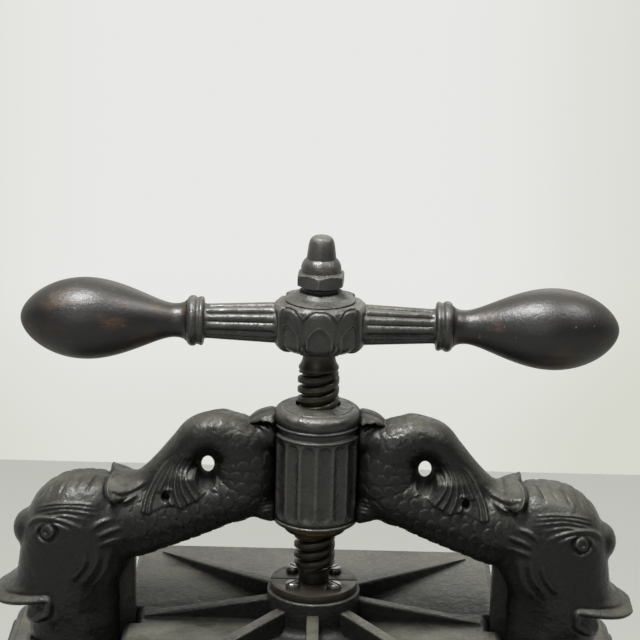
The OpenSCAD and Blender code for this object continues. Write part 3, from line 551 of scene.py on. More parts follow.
# Furrows of the brow, each with its depth
FURROWS = [([(106.4, 30), (110.6, 22.1), (113.7, 15)], 1.4),
           ([(114.6, 29.5), (118.6, 21.9), (121.4, 16.5)], 0.95),
           ([(122.6, 28.5), (126.8, 20.4), (129.8, 13.8)], 0.9),
           ([(130.4, 26.5), (134.4, 18.6), (137.2, 11.8)], 0.8),
           ([(137.6, 23), (141.6, 14.6), (144, 9.5)], 0.7)]
BELL_FOLDS = [[(98.5, 15.5), (93.5, 13.3), (88.9, 13.8), (82, 17.6), (74.9, 23.2)],
              [(97.5, 22), (91, 19.5), (85.5, 21.2), (79, 25.6)]]
UPPER_LEAF = [(-5, 66, 8, 12), (2, 66.2, 6.8, 12.5), (8, 65.6, 5.3, 12), (13, 64, 3.4, 10),
              (16.5, 63, 1.4, 6)]
LEAF_RIBS = [[(13.1, 62.3), (8.1, 60.9), (4.6, 57)], [(10, 62.9), (5.6, 61.1), (2, 56)],
             [(6.9, 63.3), (3.1, 62.1), (0.6, 59)], [(-1, 14.6), (3.6, 13.9), (6, 11.7)],
             [(-1, 11.8), (4.2, 11.1), (7, 9.2)], [(-1, 9.1), (4.1, 8.4), (7.2, 6.8)],
             [(-1, 6.6), (4.1, 5.9), (6.8, 4.2)]]
PIT_LID = [(61.4, 17.4), (64, 18.2), (66.8, 17.4)]
# Grid that holds half of a dolphin, as u, y, w
CLAY_LOW, CLAY_HIGH = (-8, 0, -81), (173, 36, 77)
HEAD_SQUARE = 2.5
JAW_W = HEAD[0][0]
# The front view looks down: what lies further forward is seen lower
SEEN_SLOPE = 0.38


def melt(a, b, k):
    """Union of two distances with a fillet of about k."""
    h = np.clip(0.5 + 0.5 * (b - a) / k, 0, 1)
    return b + (a - b) * h - k * h * (1 - h)


def carved(a, b, k):
    """Distance of the first shape with the second taken out of it, the edge eased by about k."""
    return -melt(-a, b, k)


def nearest(plane, a, b):
    """For each place of a plane, the nearest share of the way from a to b, and the gap to it."""
    u, v = plane
    way = b - a
    t = np.clip(((u - a[0]) * way[0] + (v - a[1]) * way[1]) / (way @ way), 0, 1)
    return t, np.hypot(u - a[0] - t * way[0], v - a[1] - t * way[1])


class Clay:
    """Half of a dolphin as distances on a grid, with drawings laid on it as the front view shows them."""

    def __init__(self, low, high, step):
        self.low = np.array(low, float)
        self.axes = [np.arange(a, b, step, dtype=np.float32) for a, b in zip(low, high)]
        self.u, self.y, self.w = np.meshgrid(*self.axes, indexing="ij", sparse=True)
        seen = (self.w - SEEN_SLOPE * self.y)[0]
        heights = np.arange(seen.min(), seen.max() + 2 * step, step)
        place = (seen - heights[0]) / step
        self.row = np.floor(place).astype(int)
        self.part = (place - self.row).astype(np.float32)
        self.front = self.axes[0][:, None], heights[None, :]
        self.side = self.axes[0][:, None], self.axes[2][None, :]

    def laid(self, drawing):
        """Drawing in the front view, at every cell of the grid."""
        drawing = drawing.astype(np.float32)
        return drawing[:, self.row] * (1 - self.part) + drawing[:, self.row + 1] * self.part

    def limb(self, stations):
        """Distance to a limb that swells along its stations, with its run, its turn and its face's height."""
        line = curve(stations, 24)
        way = np.gradient(line[:, :2], axis=0)
        way /= np.linalg.norm(way, axis=1, keepdims=True)
        run = np.concatenate([[0], np.cumsum(np.hypot(*np.diff(line[:, :2], axis=0).T))])
        u, w = self.side
        found = np.argmin((u[..., None] - line[:, 0]) ** 2 + (w[..., None] - line[:, 1]) ** 2, axis=-1)
        du, dw = u - line[found, 0], w - line[found, 1]
        ahead = du * way[found, 0] + dw * way[found, 1]
        side = du * -way[found, 1] + dw * way[found, 0]
        last = len(line) - 1
        past = np.where(found == 0, np.minimum(ahead, 0), np.where(found == last, np.maximum(ahead, 0), 0))
        half, deep = line[found, 2], line[found, 3]
        face = deep * np.sqrt(np.clip(1 - (side / half) ** 2 - (past / half) ** 2, 0, 1))
        s, p, h, d, r = (
            a[:, None, :].astype(np.float32) for a in (side, past, half, deep, run[found] + ahead))
        k0 = np.sqrt((s / h) ** 2 + (self.y / d) ** 2 + (p / h) ** 2)
        k1 = np.sqrt((s / h ** 2) ** 2 + (self.y / d ** 2) ** 2 + (p / h ** 2) ** 2) + 1e-6
        return k0 * (k0 - 1) / k1, r, np.arctan2(self.y / d, s / h), face

    def ridge(self, line, height, width, taper=True):
        """Drawing of a ridge along a smooth line: it fades at both ends or, untapered, grows to its tip."""
        u, v = self.front
        p = curve(line, 8)
        best = np.full((u.size, v.size), 99.0)
        place = np.zeros(best.shape)
        for i, (a, b) in enumerate(zip(p[:-1], p[1:])):
            t, gap = nearest(self.front, a, b)
            nearer = gap < best
            best = np.where(nearer, gap, best)
            place = np.where(nearer, (i + t) / (len(p) - 1), place)
        grow = np.sin(math.pi * np.clip(place, 0.02, 0.98)) ** 0.6 if taper else 0.1 + 0.9 * place ** 0.7
        return height * grow * np.exp(-(best / (width * (1 if taper else 0.6 + 0.5 * place))) ** 2)

    def within(self, outline, plane):
        """Distance in a plane to an outline, less than nothing inside."""
        u, v = plane
        best = np.full((u.size, v.size), 1e9)
        inside = np.zeros(best.shape, bool)
        p = np.asarray(outline, float)
        for a, b in zip(p, np.roll(p, -1, 0)):
            best = np.minimum(best, nearest(plane, a, b)[1])
            across, rise = b - a
            rise = rise if abs(rise) > 1e-9 else 1e-9
            inside ^= ((a[1] > v) != (b[1] > v)) & (u < a[0] + (v - a[1]) * across / rise)
        return np.where(inside, -best, best)


def blurred(face, cells):
    """Face heights smoothed over some cells each way."""
    for axis in (0, 1):
        for _ in range(2):
            pad = [(cells + 1, cells) if a == axis else (0, 0) for a in (0, 1)]
            total, n = np.cumsum(np.pad(face, pad, mode="edge"), axis), 2 * cells + 1
            count = total.shape[axis]
            face = (np.take(total, range(n, count), axis) - np.take(total, range(count - n), axis)) / n
    return face


def scales(run, turn, around, pitch):
    """Height, 0 to 1, of scales that overlap along the run."""
    row = run / pitch
    height = np.zeros(np.broadcast(row, turn).shape, np.float32)
    taken = np.zeros(height.shape, bool)
    for back in (1, 0):
        k = np.floor(row) - back
        across = turn / (2 * math.pi) * around + 0.5 * (k % 2)
        a = across - np.floor(across) - 0.5
        b = (row - k) / (0.95 + 0.75 * np.sqrt(np.clip(1 - (2 * a) ** 2, 0, 1)))
        inside = (b < 1) & ~taken
        height = np.where(inside, b * ease(1.0, 0.84, b), height)
        taken |= inside
    return height


def dolphin():
    """Points and faces of the right-hand dolphin, in place."""
    s = sizes()
    step = s.grid / MM * 1
    clay = Clay(CLAY_LOW, CLAY_HIGH, step)
    u, y, w = clay.u, clay.y, clay.w
    relief, pitch = s.scale_relief / MM, s.scale_pitch / MM
    # Drawn relief fades out towards the middle plane
    towards = ease(2.5, 7.5, y)
    # Hole in a collar between tail and chest, wider towards both faces; the relief fades out round it
    out, up = u - HOLE[0], w - HOLE[1]
    hole = 5 * (1 - np.sqrt((out / (3.9 + 0.22 * y)) ** 2 + (up / (5.1 + 0.42 * y)) ** 2))
    plain = ease(0.0, -1.6, hole)

    # Body that rises beside the boss, turns over and comes down as a tail; the fin covers its scales
    fin = clay.within(FIN, clay.front)
    bare = clay.laid(ease(-0.4, 1.2, fin))
    chest, run, turn, chest_face = clay.limb(CHEST)
    chest = chest - relief * plain * bare * ease(20, 34, run) * scales(run, turn, s.scales_around, pitch)
    tail, run, turn, tail_face = clay.limb(TAIL)
    tail = tail - relief * (1 - ease(4, 22, run)) * scales(run, turn, s.scales_around, pitch)
    tail = tail - 0.4 * ease(66, 96, run) * np.cos(7 * turn)
    # The tail ends in a bell whose mouth bows towards the head
    bow = np.clip((clay.front[1] - 20) / 12, -1.3, 1.3)
    tail = np.maximum(tail, clay.laid(clay.front[0] - 101 + 4.5 * bow ** 2))
    field = melt(chest, tail, 1.4)
    for neck in NECKS:
        field = melt(field, clay.limb(neck)[0], 2.5)
    # The fin's web bridges the gap between tail and chest, and stays clear of the hole
    face = np.maximum(chest_face, tail_face)
    spanned = face
    for reach in (15, 8, 4, 2, 1):
        cells = round(reach / step)
        spanned = np.maximum(spanned, 0.5 * (np.roll(spanned, cells, 1) + np.roll(spanned, -cells, 1)))
    bridge = face + (blurred(spanned, round(2 / step)) - face) * ease(44, 31, clay.side[1])
    bridge = np.maximum(bridge, 0.98 * face)[:, None, :].astype(np.float32)
    collar = 9 * (np.sqrt((out / 9) ** 2 + (up / 10.5) ** 2) - 1)
    field = np.maximum(melt(field, np.maximum(collar, y - 6), 3.0), hole)
    web = np.maximum(np.maximum(clay.laid(fin), 0.85 * (y - bridge - 0.2)), hole)
    field = melt(field, web, 0.8)

    # Head over the throat
    jaw = curve(HEAD, 8)
    mid, half, deep = (np.interp(clay.axes[2], jaw[:, 0], jaw[:, i]).astype(np.float32) for i in (1, 2, 3))
    k = ((np.abs(u - mid) / half) ** HEAD_SQUARE + (y / deep) ** HEAD_SQUARE) ** (1 / HEAD_SQUARE) - 1
    slope = np.sqrt(sum(g ** 2 for g in np.gradient(k, step)))
    head = np.clip(k / np.maximum(slope, 0.012), -20, 20)
    head = np.where(k > 0.6, np.maximum(head, 0.4 * k * np.minimum(half, deep)), head)
    head = np.maximum(head, np.maximum(JAW_W - w, w - HEAD[-1][0]))
    lip = clay.within(MOUTH, clay.side)
    swollen = 1.5 * np.exp(-((lip - 2.4) / 1.6) ** 2) - 0.7 * np.exp(-((lip - 5.6) / 1.1) ** 2)
    head = head - swollen[:, None, :]
    field = melt(field, head.astype(np.float32), 2.0 - 1.5 * ease(84, 92, u) * ease(8, 16, w))
    # Round lobe on the outer side of the head
    lobe = np.sqrt(((u - 149.8) / 11) ** 2 + (y / 13) ** 2 + ((w + 9) / 12.4) ** 2)
    field = melt(field, (lobe - 1) * 11, 2.2)

    # Drawn relief: fin, tail bell, brows, lids, gills, cheeks, leaf and furrows
    drawing = 0.8 * ease(0.5, -0.8, fin) * ease(38, 25, clay.front[1])
    ribs = np.max([clay.ridge(rib, 1.5, 0.95, False) for rib in RIBS], axis=0)
    drawing += ribs * ease(0.6, -0.6, fin)
    drawing += clay.ridge(PIT_LID, 1.6, 0.9)
    beyond = [(a + 2.2, b - 0.6) for a, b in BELL_RIM]
    drawing += clay.ridge(BELL_RIM, 1.1, 0.9) - clay.ridge(beyond, 1.0, 0.8)
    # Height and width of each kind of line
    for lines, height, width in (
            (BROWS, 0.95, 0.85), (LIDS, 1.8, 1.25), (GILLS, 1.4, 1.5), (CHEEKS, 1.3, 2.0),
            (LEAF_RIBS, 1.5, 1.0)):
        drawing += sum(clay.ridge(line, height, width) for line in lines)
    drawing -= sum(clay.ridge(line, depth, 0.7) for line, depth in FURROWS)
    drawing -= clay.ridge(BELL_FOLDS[0], 1.3, 1.3) + clay.ridge(BELL_FOLDS[1], 0.6, 1.5)
    # Eyeball in its socket, with a drilled pupil
    gap, pupil = (np.hypot(clay.front[0] - EYE[0] - aside, clay.front[1] - EYE[1]) for aside in (0, 0.8))
    drawing += 1.8 * np.sqrt(np.clip(1 - (gap / 4.6) ** 2, 0, 1)) - 1.3 * np.exp(-((gap - 5.6) / 1.0) ** 2)
    drawing -= 1.4 * np.exp(-(pupil / 1.5) ** 2)
    field = field - clay.laid(drawing) * towards * plain

    # Leaf at the boss, the pit under the fin and the mouth
    leaf, _, turn, _ = clay.limb(UPPER_LEAF)
    leaf = np.maximum(leaf - 0.25 * np.cos(9 * turn), clay.laid(clay.within(LEAF, clay.front)))
    field = melt(field, leaf, 0.6)
    pit = np.sqrt(((u - 65.3) / 2.6) ** 2 + ((y - 22) / 8) ** 2 + ((w - 20.6) / 3.2) ** 2)
    field = carved(field, (pit - 1) * 2.4, 1.0)
    field = carved(field, lip[:, None, :].astype(np.float32), 1.4)
    # The boss's round stays clear of the body, which only joins it at the middle
    field = carved(field, u + 2.5 - 1.4 * (1 - np.exp(-(y / 5.5) ** 2)), 3.5)

    whole = np.concatenate([field[:, :0:-1, :], field], axis=1).astype(np.float32)
    grid = openvdb.FloatGrid(background=3.0)
    grid.copyFromArray(whole)
    points, quads = grid.convertToQuads(0.0)
    low = np.array([clay.low[0], -step * (field.shape[1] - 1), clay.low[2]])
    points = np.asarray(points, float) * step + low + np.array([BOSS_R, 0, BOSS_Z])
    return points, np.asarray(quads)[:, ::-1].tolist()


def boss():
    """Barrel with arch-topped flutes between ring mouldings, a round shoulder and a bored conical top."""
    s = sizes()
    wide, depth = s.flute_width / MM, s.flute_depth / MM
    foot, head = 8.0, 57.4
    body = [(18.2, 0), (18.2, 60.5), (13.3, 60.5), (13.3, 76.8), (13.9, 77.3), (20.2, 75.4), (20.7, 75.3),
            (21, 74.8), *arc((21.5, 69.6), (5.4, 5.4), 90, -38, 20), (26.2, 65.8), (26.6, 65.4), (26.6, 64.8),
            (26, 64.4), (25.1, 63.9), (24.9, 63), (24.9, 60.8), (25.2, 60.1), (26.7, 59.9), (27, 59.4),
            (27, 58.7), (26.6, 58.2), (BOSS_R, 57.6), (BOSS_R, 6.4), (26.2, 5.4), (25.6, 5), (25.6, 4.6),
            (26.6, 4.3), (26.9, 3.8), (26.9, 3.1), (26, 1.7), (24.2, 0.6), (22, 0), (19, 0)]
    outline = filled(eased(body, 0.5, 2), 1.2)
    angles = circle(14 * s.flutes)
    part = 2 * math.pi / s.flutes
    across = np.abs(angles % part - part / 2)[None, :] * BOSS_R
    radius, height = outline[:, :1], outline[:, 1:]
    # Each flute is round at both ends
    over = np.maximum(height - (head - wide / 2), 0) + np.maximum(foot + wide / 2 - height, 0)
    half = np.sqrt(np.clip((wide / 2) ** 2 - over ** 2, 1e-6, None))
    barrel = (radius > BOSS_R - 0.1) & (height > foot - 1) & (height < head + 0.6)
    dish = np.clip(1 - (across / half) ** 2, 0, 1) ** 0.6
    hollow = np.where(barrel & (across < half), depth * (half / (wide / 2)) * dish, 0)
    return moved(shell(turned(outline, angles, hollow), bored=True), z=BOSS_Z)


def rounded_box(low, high, radius):
    """Box with rounded upright corners and eased top and bottom edges."""
    x0, y0, z0 = low
    x1, y1, z1 = high
    section = [(radius * 0.7, z0), (radius * 0.2, z0 + radius * 0.2), (0, z0 + radius * 0.7),
               (0, z1 - radius * 0.7), (radius * 0.2, z1 - radius * 0.2), (radius * 0.7, z1)]
    return shell(plate([(x0, y0), (x1, y0), (x1, y1), (x0, y1)], section, radius))


def plinth():
    """Moulded plinth under a head, with the rib that guides the platen."""
    middle, half_x, half_y = 150.5, 31.0, 34.0
    rise = BOSS_Z + JAW_W - ARCH_LOW[2]
    # Inset and share of the rise of each moulding above the foot's edge
    mouldings = [(0, 0.27), (1.6, 0.33), (2.6, 0.36), (5, 0.5), (6.2, 0.7), (3, 0.79), (1.5, 0.84),
                 (1.5, 0.92), (2.5, 1.0), (6, 1.15)]
    section = eased([(0.4, 0), (0, 0.4)] + [(inset, share * rise) for inset, share in mouldings], 1.4, 4)
    corner = [(middle + sx * half_x, sy * half_y) for sx, sy in ((-1, -1), (1, -1), (1, 1), (-1, 1))]
    foot = shell(plate(corner, [(i, ARCH_LOW[2] + z) for i, z in section], 9, 6))
    guide = rounded_box((111.5, -8, ARCH_LOW[2] + 0.2), (135, 8, BOSS_Z - 20), 1.2)
    return joined(foot, guide)


class PRESS_OT_dolphins(bpy.types.Operator):
    """Sculpts the two dolphins that carry the boss, with their plinths"""

    bl_idname = "press.dolphins"
    bl_label = "Dolphins"

    def execute(self, context):
        iron = painted_iron()
        right = dolphin()
        for name, shape in (("dolphin_right", right), ("dolphin_left", mirrored(right))):
            obj = piece(name, shape, iron, "frame", ("dolphin_arch",))
            thinned(obj, 0.3)
        feet = plinth()
        both = joined(feet, mirrored(feet))
        piece("arch_plinths", both, iron, "frame", ("dolphin_arch",), 40)
        return {"FINISHED"}


class PRESS_OT_boss(bpy.types.Operator):
    """Turns the fluted boss that holds the nut"""

    bl_idname = "press.boss"
    bl_label = "Boss"

    def execute(self, context):
        # Boss iron: bare iron in thin patches, partly wear and partly a painted sheen
        iron = handled_iron("brushed_by_black_cast_iron", 0.12)
        piece("arch_boss", boss(), iron, "frame", ("dolphin_arch",), 60)
        return {"FINISHED"}


def hub():
    """Drum of the handle with rimmed petals that wrap its lower edge, and plain pilasters at the arms."""
    low, high, r, bore = HUB_LOW[2], HUB_HIGH[2] - 0.6, 25.6, 9.9
    body = [(bore, low + 0.5), (bore + 0.7, low), *arc((r - 13, low + 8.5), (13, 8.5), -90, 0, 16),
            (r, high - 4.2), (r - 0.5, high - 2.4), (r - 2, high - 1.0), (21.6, high - 0.2), (21, high),
            (bore, high)]
    outline = filled(body, 0.6)
    run = np.concatenate([[0], np.cumsum(np.linalg.norm(np.diff(outline, axis=0), axis=1))])[:, None]
    angles = circle(320)
    part = math.pi / 4
    across = ((angles + part / 2) % part - part / 2)[None, :] * r
    # Share of the way up a petal, from under the drum to its top edge
    first, last = 5.0, float(np.interp(high - 0.5, outline[10:, 1], run[10:, 0]))
    up = (run - first) / (last - first)
    tip, arch = last - 1.6, 8.0
    wide = 10.6 * (0.45 + 0.55 * ease(0, 0.5, up))
    rho = np.hypot(across / wide, np.maximum(run - tip + arch, 0) / arch)
    petal = 0.1 + 1.5 * np.sqrt(np.clip(1 - (across / wide) ** 2, 0, 1))
    petal -= 0.5 * np.exp(-((rho - 0.9) / 0.06) ** 2)
    # A smaller pointed petal is sunk in the foot of each
    inner = (np.abs(across) / 6.6) ** 1.4 + (np.maximum(run - tip + 17, 0) / 7.2) ** 1.4
    petal += 0.35 * np.exp(-((inner - 1.1) / 0.12) ** 2) - 0.6 * ease(1.04, 0.94, inner)
    petal += (1.75 - petal) * ease(0.96, 1.0, rho) + 0.35 * np.exp(-((rho - 1.0) / 0.05) ** 2)
    out = np.abs(r * np.sin(angles))[None, :]
    clear = ease(13.4, 15.0, out) * ease(0, 0.4, up) * ease(1.04, 0.98, up)
    pilaster = 2.8 * ease(13.2, 12.0, out) * ease(0.02, 0.3, up) * ease(0.98, 0.84, up)
    return shell(turned(outline, angles, np.minimum(petal * clear, 2.6) + pilaster), bored=True)


def arm():
    """Reeded arm along +X with its bead."""
    s = sizes()
    outline = [(12.6, 20), (12.5, 29), (10.6, 68.9), (10.8, 69.7), (12.6, 70)]
    outline += arc((13.2, 71.7), (1.7, 1.6), -80, 38, 9) + arc((11.2, 76.9), (4.2, 3.6), -48, 78, 13)
    outline += [(12.4, 80.55), (0.5, 80.58)]
    outline = filled(eased(outline, 0.5, 2), 1.6)
    angles = circle(14 * s.reeds)
    wave = np.abs(np.cos(angles * s.reeds / 2))[None, :]
    reeded = ease(26, 29, outline[:, 1:]) * ease(69.2, 67.1, outline[:, 1:])
    return on_arm(shell(turned(outline, angles, -s.reed_depth / MM * reeded * (1 - wave ** 0.8))))


class PRESS_OT_handle(bpy.types.Operator):
    """Casts the hub with its reeded arms"""

    bl_idname = "press.handle"
    bl_label = "Handle bar"

    def execute(self, context):
        right = arm()
        shape = joined(hub(), right, mirrored(right))
        # Handle iron: bare iron in thin patches, partly wear and partly a painted sheen
        iron = handled_iron("handled_black_cast_iron", 0.2)
        piece("handle_casting", shape, iron, "spindle", ("handle_bar",), 60)
        return {"FINISHED"}


class PRESS_OT_grips(bpy.types.Operator):
    """Turns the two bulb grips"""

    bl_idname = "press.grips"
    bl_label = "Grips"

    def execute(self, context):
        length, _, full = GRIP_HIGH - GRIP_LOW
        full /= 2
        neck, neck_x, swell = 10.25, 7.0, 60.4
        rise, fall = swell - neck_x, length - swell
        outline = np.vstack([
            [(0.4, 0.02)], handled((12.6, 0.02), (11.1, 1), (neck, 3.5), (neck, neck_x), 8)[:-1],
            handled((neck, neck_x), (neck, neck_x + 0.2 * rise), (full, swell - 0.42 * rise),
                    (full, swell), 26)[:-1],
            handled((full, swell), (full, swell + 0.6 * fall), (0.4 * full, length), (0.15, length), 30)])
        right = on_arm(shell(turned(outline, circle(72))), GRIP_LOW[0])
        wood = ebonised_wood()
        piece("turned_grip_right", right, wood, "spindle", ("grip_right",), 60)
        piece("turned_grip_left", mirrored(right), wood, "spindle", ("grip_left",), 60)
        return {"FINISHED"}


def screw():
    """Threaded length of the screw."""
    s = sizes()
    pitch, lead = s.thread_pitch / MM, s.thread_pitch / MM * s.thread_starts
    low, high, major, root = 115.15, 247.45, 12.7, 9.9
    n = 72
    angles = circle(n)
    # One crest and one root: share of the pitch, share of the depth
    tooth = np.array([(0, 0), (0.1, 0.06), (0.18, 0.74), (0.24, 0.94), (0.32, 1), (0.66, 1), (0.74, 0.94),
                      (0.8, 0.74), (0.9, 0.06)])
    turns = int((high - low) / pitch) + 2 * s.thread_starts + 1
    rows = np.vstack([tooth + (i, 0) for i in range(-s.thread_starts, turns)])
    z = low + rows[:, :1] * pitch + lead * angles[None, :] / (2 * math.pi)
    run_in = ease(0, 4, z - low) * ease(0, 5, high - z)
    radius = root + (major - root) * rows[:, 1:] * run_in
    z = np.clip(z, low, high)
    # A column of rings closes on itself one lead further up
    points = np.stack([radius * np.cos(angles), radius * np.sin(angles), z], -1).reshape(-1, 3)
    shift = s.thread_starts * len(tooth)
    faces = []
    for i in range(len(rows) - 1):
        pairs = [(i * n + k, i * n + k + 1) for k in range(n - 1)]
        if i + shift < len(rows) - 1:
            pairs.append((i * n + n - 1, (i + shift) * n))
        faces += [[a, b, b + n, a + n] for a, b in pairs]
    return points, faces


def stem():
    """Plain ends of the screw: journal and groove below, flared neck above, then the square and the stud."""
    low, neck = SCREW_LOW[2], HUB_LOW[2]
    bottom = eased([(0.2, low), (8.6, low), (9.4, low + 1), (9.4, 101.8), (6.5, 101.9), (6.5, 107.1),
                    (9.4, 107.2), (9.4, 114), (9.9, 115.2), (0.2, 115.2)], 0.4, 2)
    top = eased([(0.2, neck - 12.4), (12.2, neck - 12.4), (12.3, neck - 11.2), (11, neck - 9.2),
                 (10.1, neck - 6.8), (9.8, neck - 4), (10.2, neck - 1.2), (11.2, neck + 0.4),
                 (0.2, neck + 0.4)], 1.2, 3)
    stud = eased([(0.2, HUB_HIGH[2] - 1), (5.3, HUB_HIGH[2] - 1), (5.3, SCREW_HIGH[2] - 1),
                  (4.6, SCREW_HIGH[2]), (0.2, SCREW_HIGH[2])], 0.4, 2)
    square = rounded_box((-6.75, -6.75, neck), (6.75, 6.75, HUB_HIGH[2] - 0.2), 0.8)
    return joined(*[shell(turned(p, circle(48))) for p in (bottom, top, stud)], square)


class PRESS_OT_screw(bpy.types.Operator):
    """Cuts the double-start screw"""

    bl_idname = "press.screw"
    bl_label = "Screw"

    def execute(self, context):
        shape = joined(screw(), stem())
        piece("threaded_screw", shape, oiled_steel(), "spindle", ("press_screw",), 45)
        return {"FINISHED"}


class PRESS_OT_top_nut(bpy.types.Operator):
    """Turns the dished washer and the acorn nut above the hub"""

    bl_idname = "press.top_nut"
    bl_label = "Washer and acorn nut"

    def execute(self, context):
        # Nut iron: bare iron in patches and on edges, partly wear and partly painted sheen and edge
        # highlights
        iron = painted_iron("rubbed_black_iron", gloss=0.34, worn=2.4, recess=6, glare=0.6, thin=0.38)
        low, high, bore = WASHER_LOW[2], WASHER_HIGH[2], 5.5
        dish = [(bore, low + 0.02), (20.6, low + 0.02), (21.3, low + 0.4), (21.3, low + 1.0),
                (20.4, low + 1.5), (16.4, low + 3.0), (14.2, low + 4.7), (13.4, high - 0.3), (12.6, high),
                (bore, high)]
        rings = turned(filled(eased(dish, 0.9, 4), 1.5), circle(96))
        washer = shell(rings, bored=True)
        piece("dished_washer", washer, iron, "spindle", ("handle_washer",), 60)
        base, tip = ACORN_LOW[2], ACORN_HIGH[2] - ACORN_LOW[2] - 0.6
        flats, hexed, stud = 13.5, 11.6, 23.0
        outline = np.vstack([
            [(0.15, stud), (5.4, stud)],
            filled([(5.4, 0.03), (10.6, 0.03), (10.8, 2.2), (11.2, 2.7), (15.2, 4.6), (15.7, 5.2),
                    (15.7, 9.6), (15, 10.8), (13.5, hexed), (12.5, 12.0)], 0.8),
            handled((12.1, 12.6), (12.2, 16), (11.4, 18), (9.5, 19.8), 12),
            handled((8.9, 20.4), (8.7, 22), (8.5, 24), (8.2, 26), 5),
            handled((8, 27.5), (7.2, 33.4), (5.6, tip), (0.15, tip), 14)])
        # One corner of the hexagon stands this far round, and a ring has a point at each corner
        turn, sixth = math.radians(26), math.pi / 3
        angles = np.unique(np.concatenate([circle(96), turn % sixth + circle(6)]).round(6))
        corner = (angles - turn + sixth / 2) % sixth - sixth / 2
        across = flats / np.cos(sixth / 2 - np.abs(corner))
        rings = turned(outline, angles)
        reach = np.linalg.norm(rings[..., :2], axis=-1)
        limit = np.where((outline[:, 1:2] < hexed + 0.2) & (outline[:, :1] > 6), across[None, :], 99)
        rings[..., :2] *= (np.minimum(reach, limit) / np.maximum(reach, 1e-9))[..., None]
        nut = moved(shell(rings), z=base)
        piece("acorn_top_nut", nut, iron, "spindle", ("acorn_nut",), 28)
        return {"FINISHED"}


def canted(half_x, half_y, cant):
    """Outline of a rectangle with canted corners."""
    right = [(half_x - cant, -half_y), (half_x, -half_y + cant), (half_x, half_y - cant),
             (half_x - cant, half_y)]
    return right + [(-x, -y) for x, y in right]


class PRESS_OT_base(bpy.types.Operator):
    """Casts the moulded bed with its bun feet"""

    bl_idname = "press.base"
    bl_label = "Base"

    def execute(self, context):
        iron = painted_iron()
        low, high = BED_LOW[2], BED_HIGH[2]
        section = [(2.2, low), (0, low + 2.2), (0, high - 15.6), (0.6, high - 15),
                   *arc((10, high - 15), (-7.5, 12), 0, 90, 8), (9.6, high - 3), (9.6, high - 0.6),
                   (10.4, high)]
        bed = shell(plate(canted(BED_HIGH[0], BED_HIGH[1], 26), eased(section, 0.9, 3), 5))
        piece("moulded_bed", bed, iron, "frame", ("base_plate",), 45)
        foot = [(0.3, 0.02), (15, 0.02), *arc((15.5, 7.5), (7.5, 7.45), -88, 62, 14), (16.4, 14.6),
                (16.4, 15.2), (20.3, 15.2), (20.3, low - 0.02), (0.3, low - 0.02)]
        one = shell(turned(eased(foot, 0.6, 3), circle(56)))
        foot_x, foot_y = 163.5, 96.0
        corners = [moved(one, x=sx * foot_x, y=sy * foot_y) for sx in (-1, 1) for sy in (-1, 1)]
        piece("bun_feet", joined(*corners), iron, "frame", ("base_feet",), 50)
        return {"FINISHED"}


def platen_rib(reach, angle, top):
    """Rib that falls from the socket to the platen's edge."""
    half, rows = 4.0, []
    for x in np.linspace(22, reach, 24):
        height = np.interp(x, [29, reach], [15, 1.2])
        side = [(half + 1.4, -1.5), (half, 0.8), (half, height)]
        outline = eased([(-y, z) for y, z in side] + side[::-1], 1.6, 4)
        rows.append([(x, y, top + z) for y, z in outline])
    points, faces = shell(rows)
    c, s = math.cos(angle), math.sin(angle)
    return points @ np.array([[c, s, 0], [-s, c, 0], [0, 0, 1]]), faces


class PRESS_OT_platen(bpy.types.Operator):
    """Casts the ribbed platen with the socket for the screw"""

    bl_idname = "press.platen"
    bl_label = "Platen"

    def execute(self, context):
        iron = painted_iron()
        low, half_x, half_y, thick = PLATEN_LOW[2], PLATEN_HIGH[0], PLATEN_HIGH[1], 11.0
        top = low + thick
        notch_x, notch_y = 111.0, 8.5
        outline = [(half_x - 8, -half_y), (half_x, -half_y + 8), (half_x, -notch_y), (notch_x, -notch_y),
                   (notch_x, notch_y), (half_x, notch_y), (half_x, half_y - 8), (half_x - 8, half_y)]
        outline += [(-x, -y) for x, y in outline]
        section = [(0.8, low), (0, low + 0.8), (0, top - 4.6), (0.6, top - 3.4), (3.4, top - 0.6), (4.6, top)]
        slab = shell(plate(outline, section, 1.5, 3))
        bore = 9.5
        cup = [(bore, top + 6), (bore, top + 21.6), (bore + 0.5, top + 22), (28.2, top + 22),
               (29, top + 21.2), (29, top + 6.5), *arc((35, top + 6), (-6, -6), 5, 90, 8), (36, top - 1),
               (bore, top - 1)]
        socket = shell(turned(eased(cup, 0.5, 3), circle(96)), bored=True)
        flat_x, flat_y = 105.5, 110.0
        slant = math.atan2(flat_y, flat_x)
        ribs = [(flat_x, 0), (flat_y, math.pi / 2), (flat_x, math.pi), (flat_y, -math.pi / 2)]
        corner = math.hypot(flat_x, flat_y) - 10
        ribs += [(corner, a) for a in (slant, math.pi - slant, slant - math.pi, -slant)]
        shape = joined(slab, socket, *[platen_rib(reach, a, top) for reach, a in ribs])
        piece("ribbed_platen", shape, iron, "platen_body", ("platen",), 45)
        return {"FINISHED"}


def softened(name, node, material, body, edge):
    """Copy of a solid with its sharp edges rounded."""
    bm = bmesh.new()
    bm.from_mesh(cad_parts[node].data)
    bmesh.ops.remove_doubles(bm, verts=bm.verts, dist=1e-6)
    bmesh.ops.dissolve_limit(bm, angle_limit=math.radians(1), verts=bm.verts, edges=bm.edges)
    sharp = [e for e in bm.edges if len(e.link_faces) == 2 and e.calc_face_angle(0) > math.radians(35)]
    bmesh.ops.bevel(
        bm, geom=sharp, offset=edge * MM, segments=2, profile=0.5, affect="EDGES", clamp_overlap=True)
    points = [v.co / MM for v in bm.verts]
    bm.verts.index_update()
    faces = [[v.index for v in f.verts] for f in bm.faces]
    bm.free()
    return piece(name, (np.array(points), faces), material, body, (node,), 35)


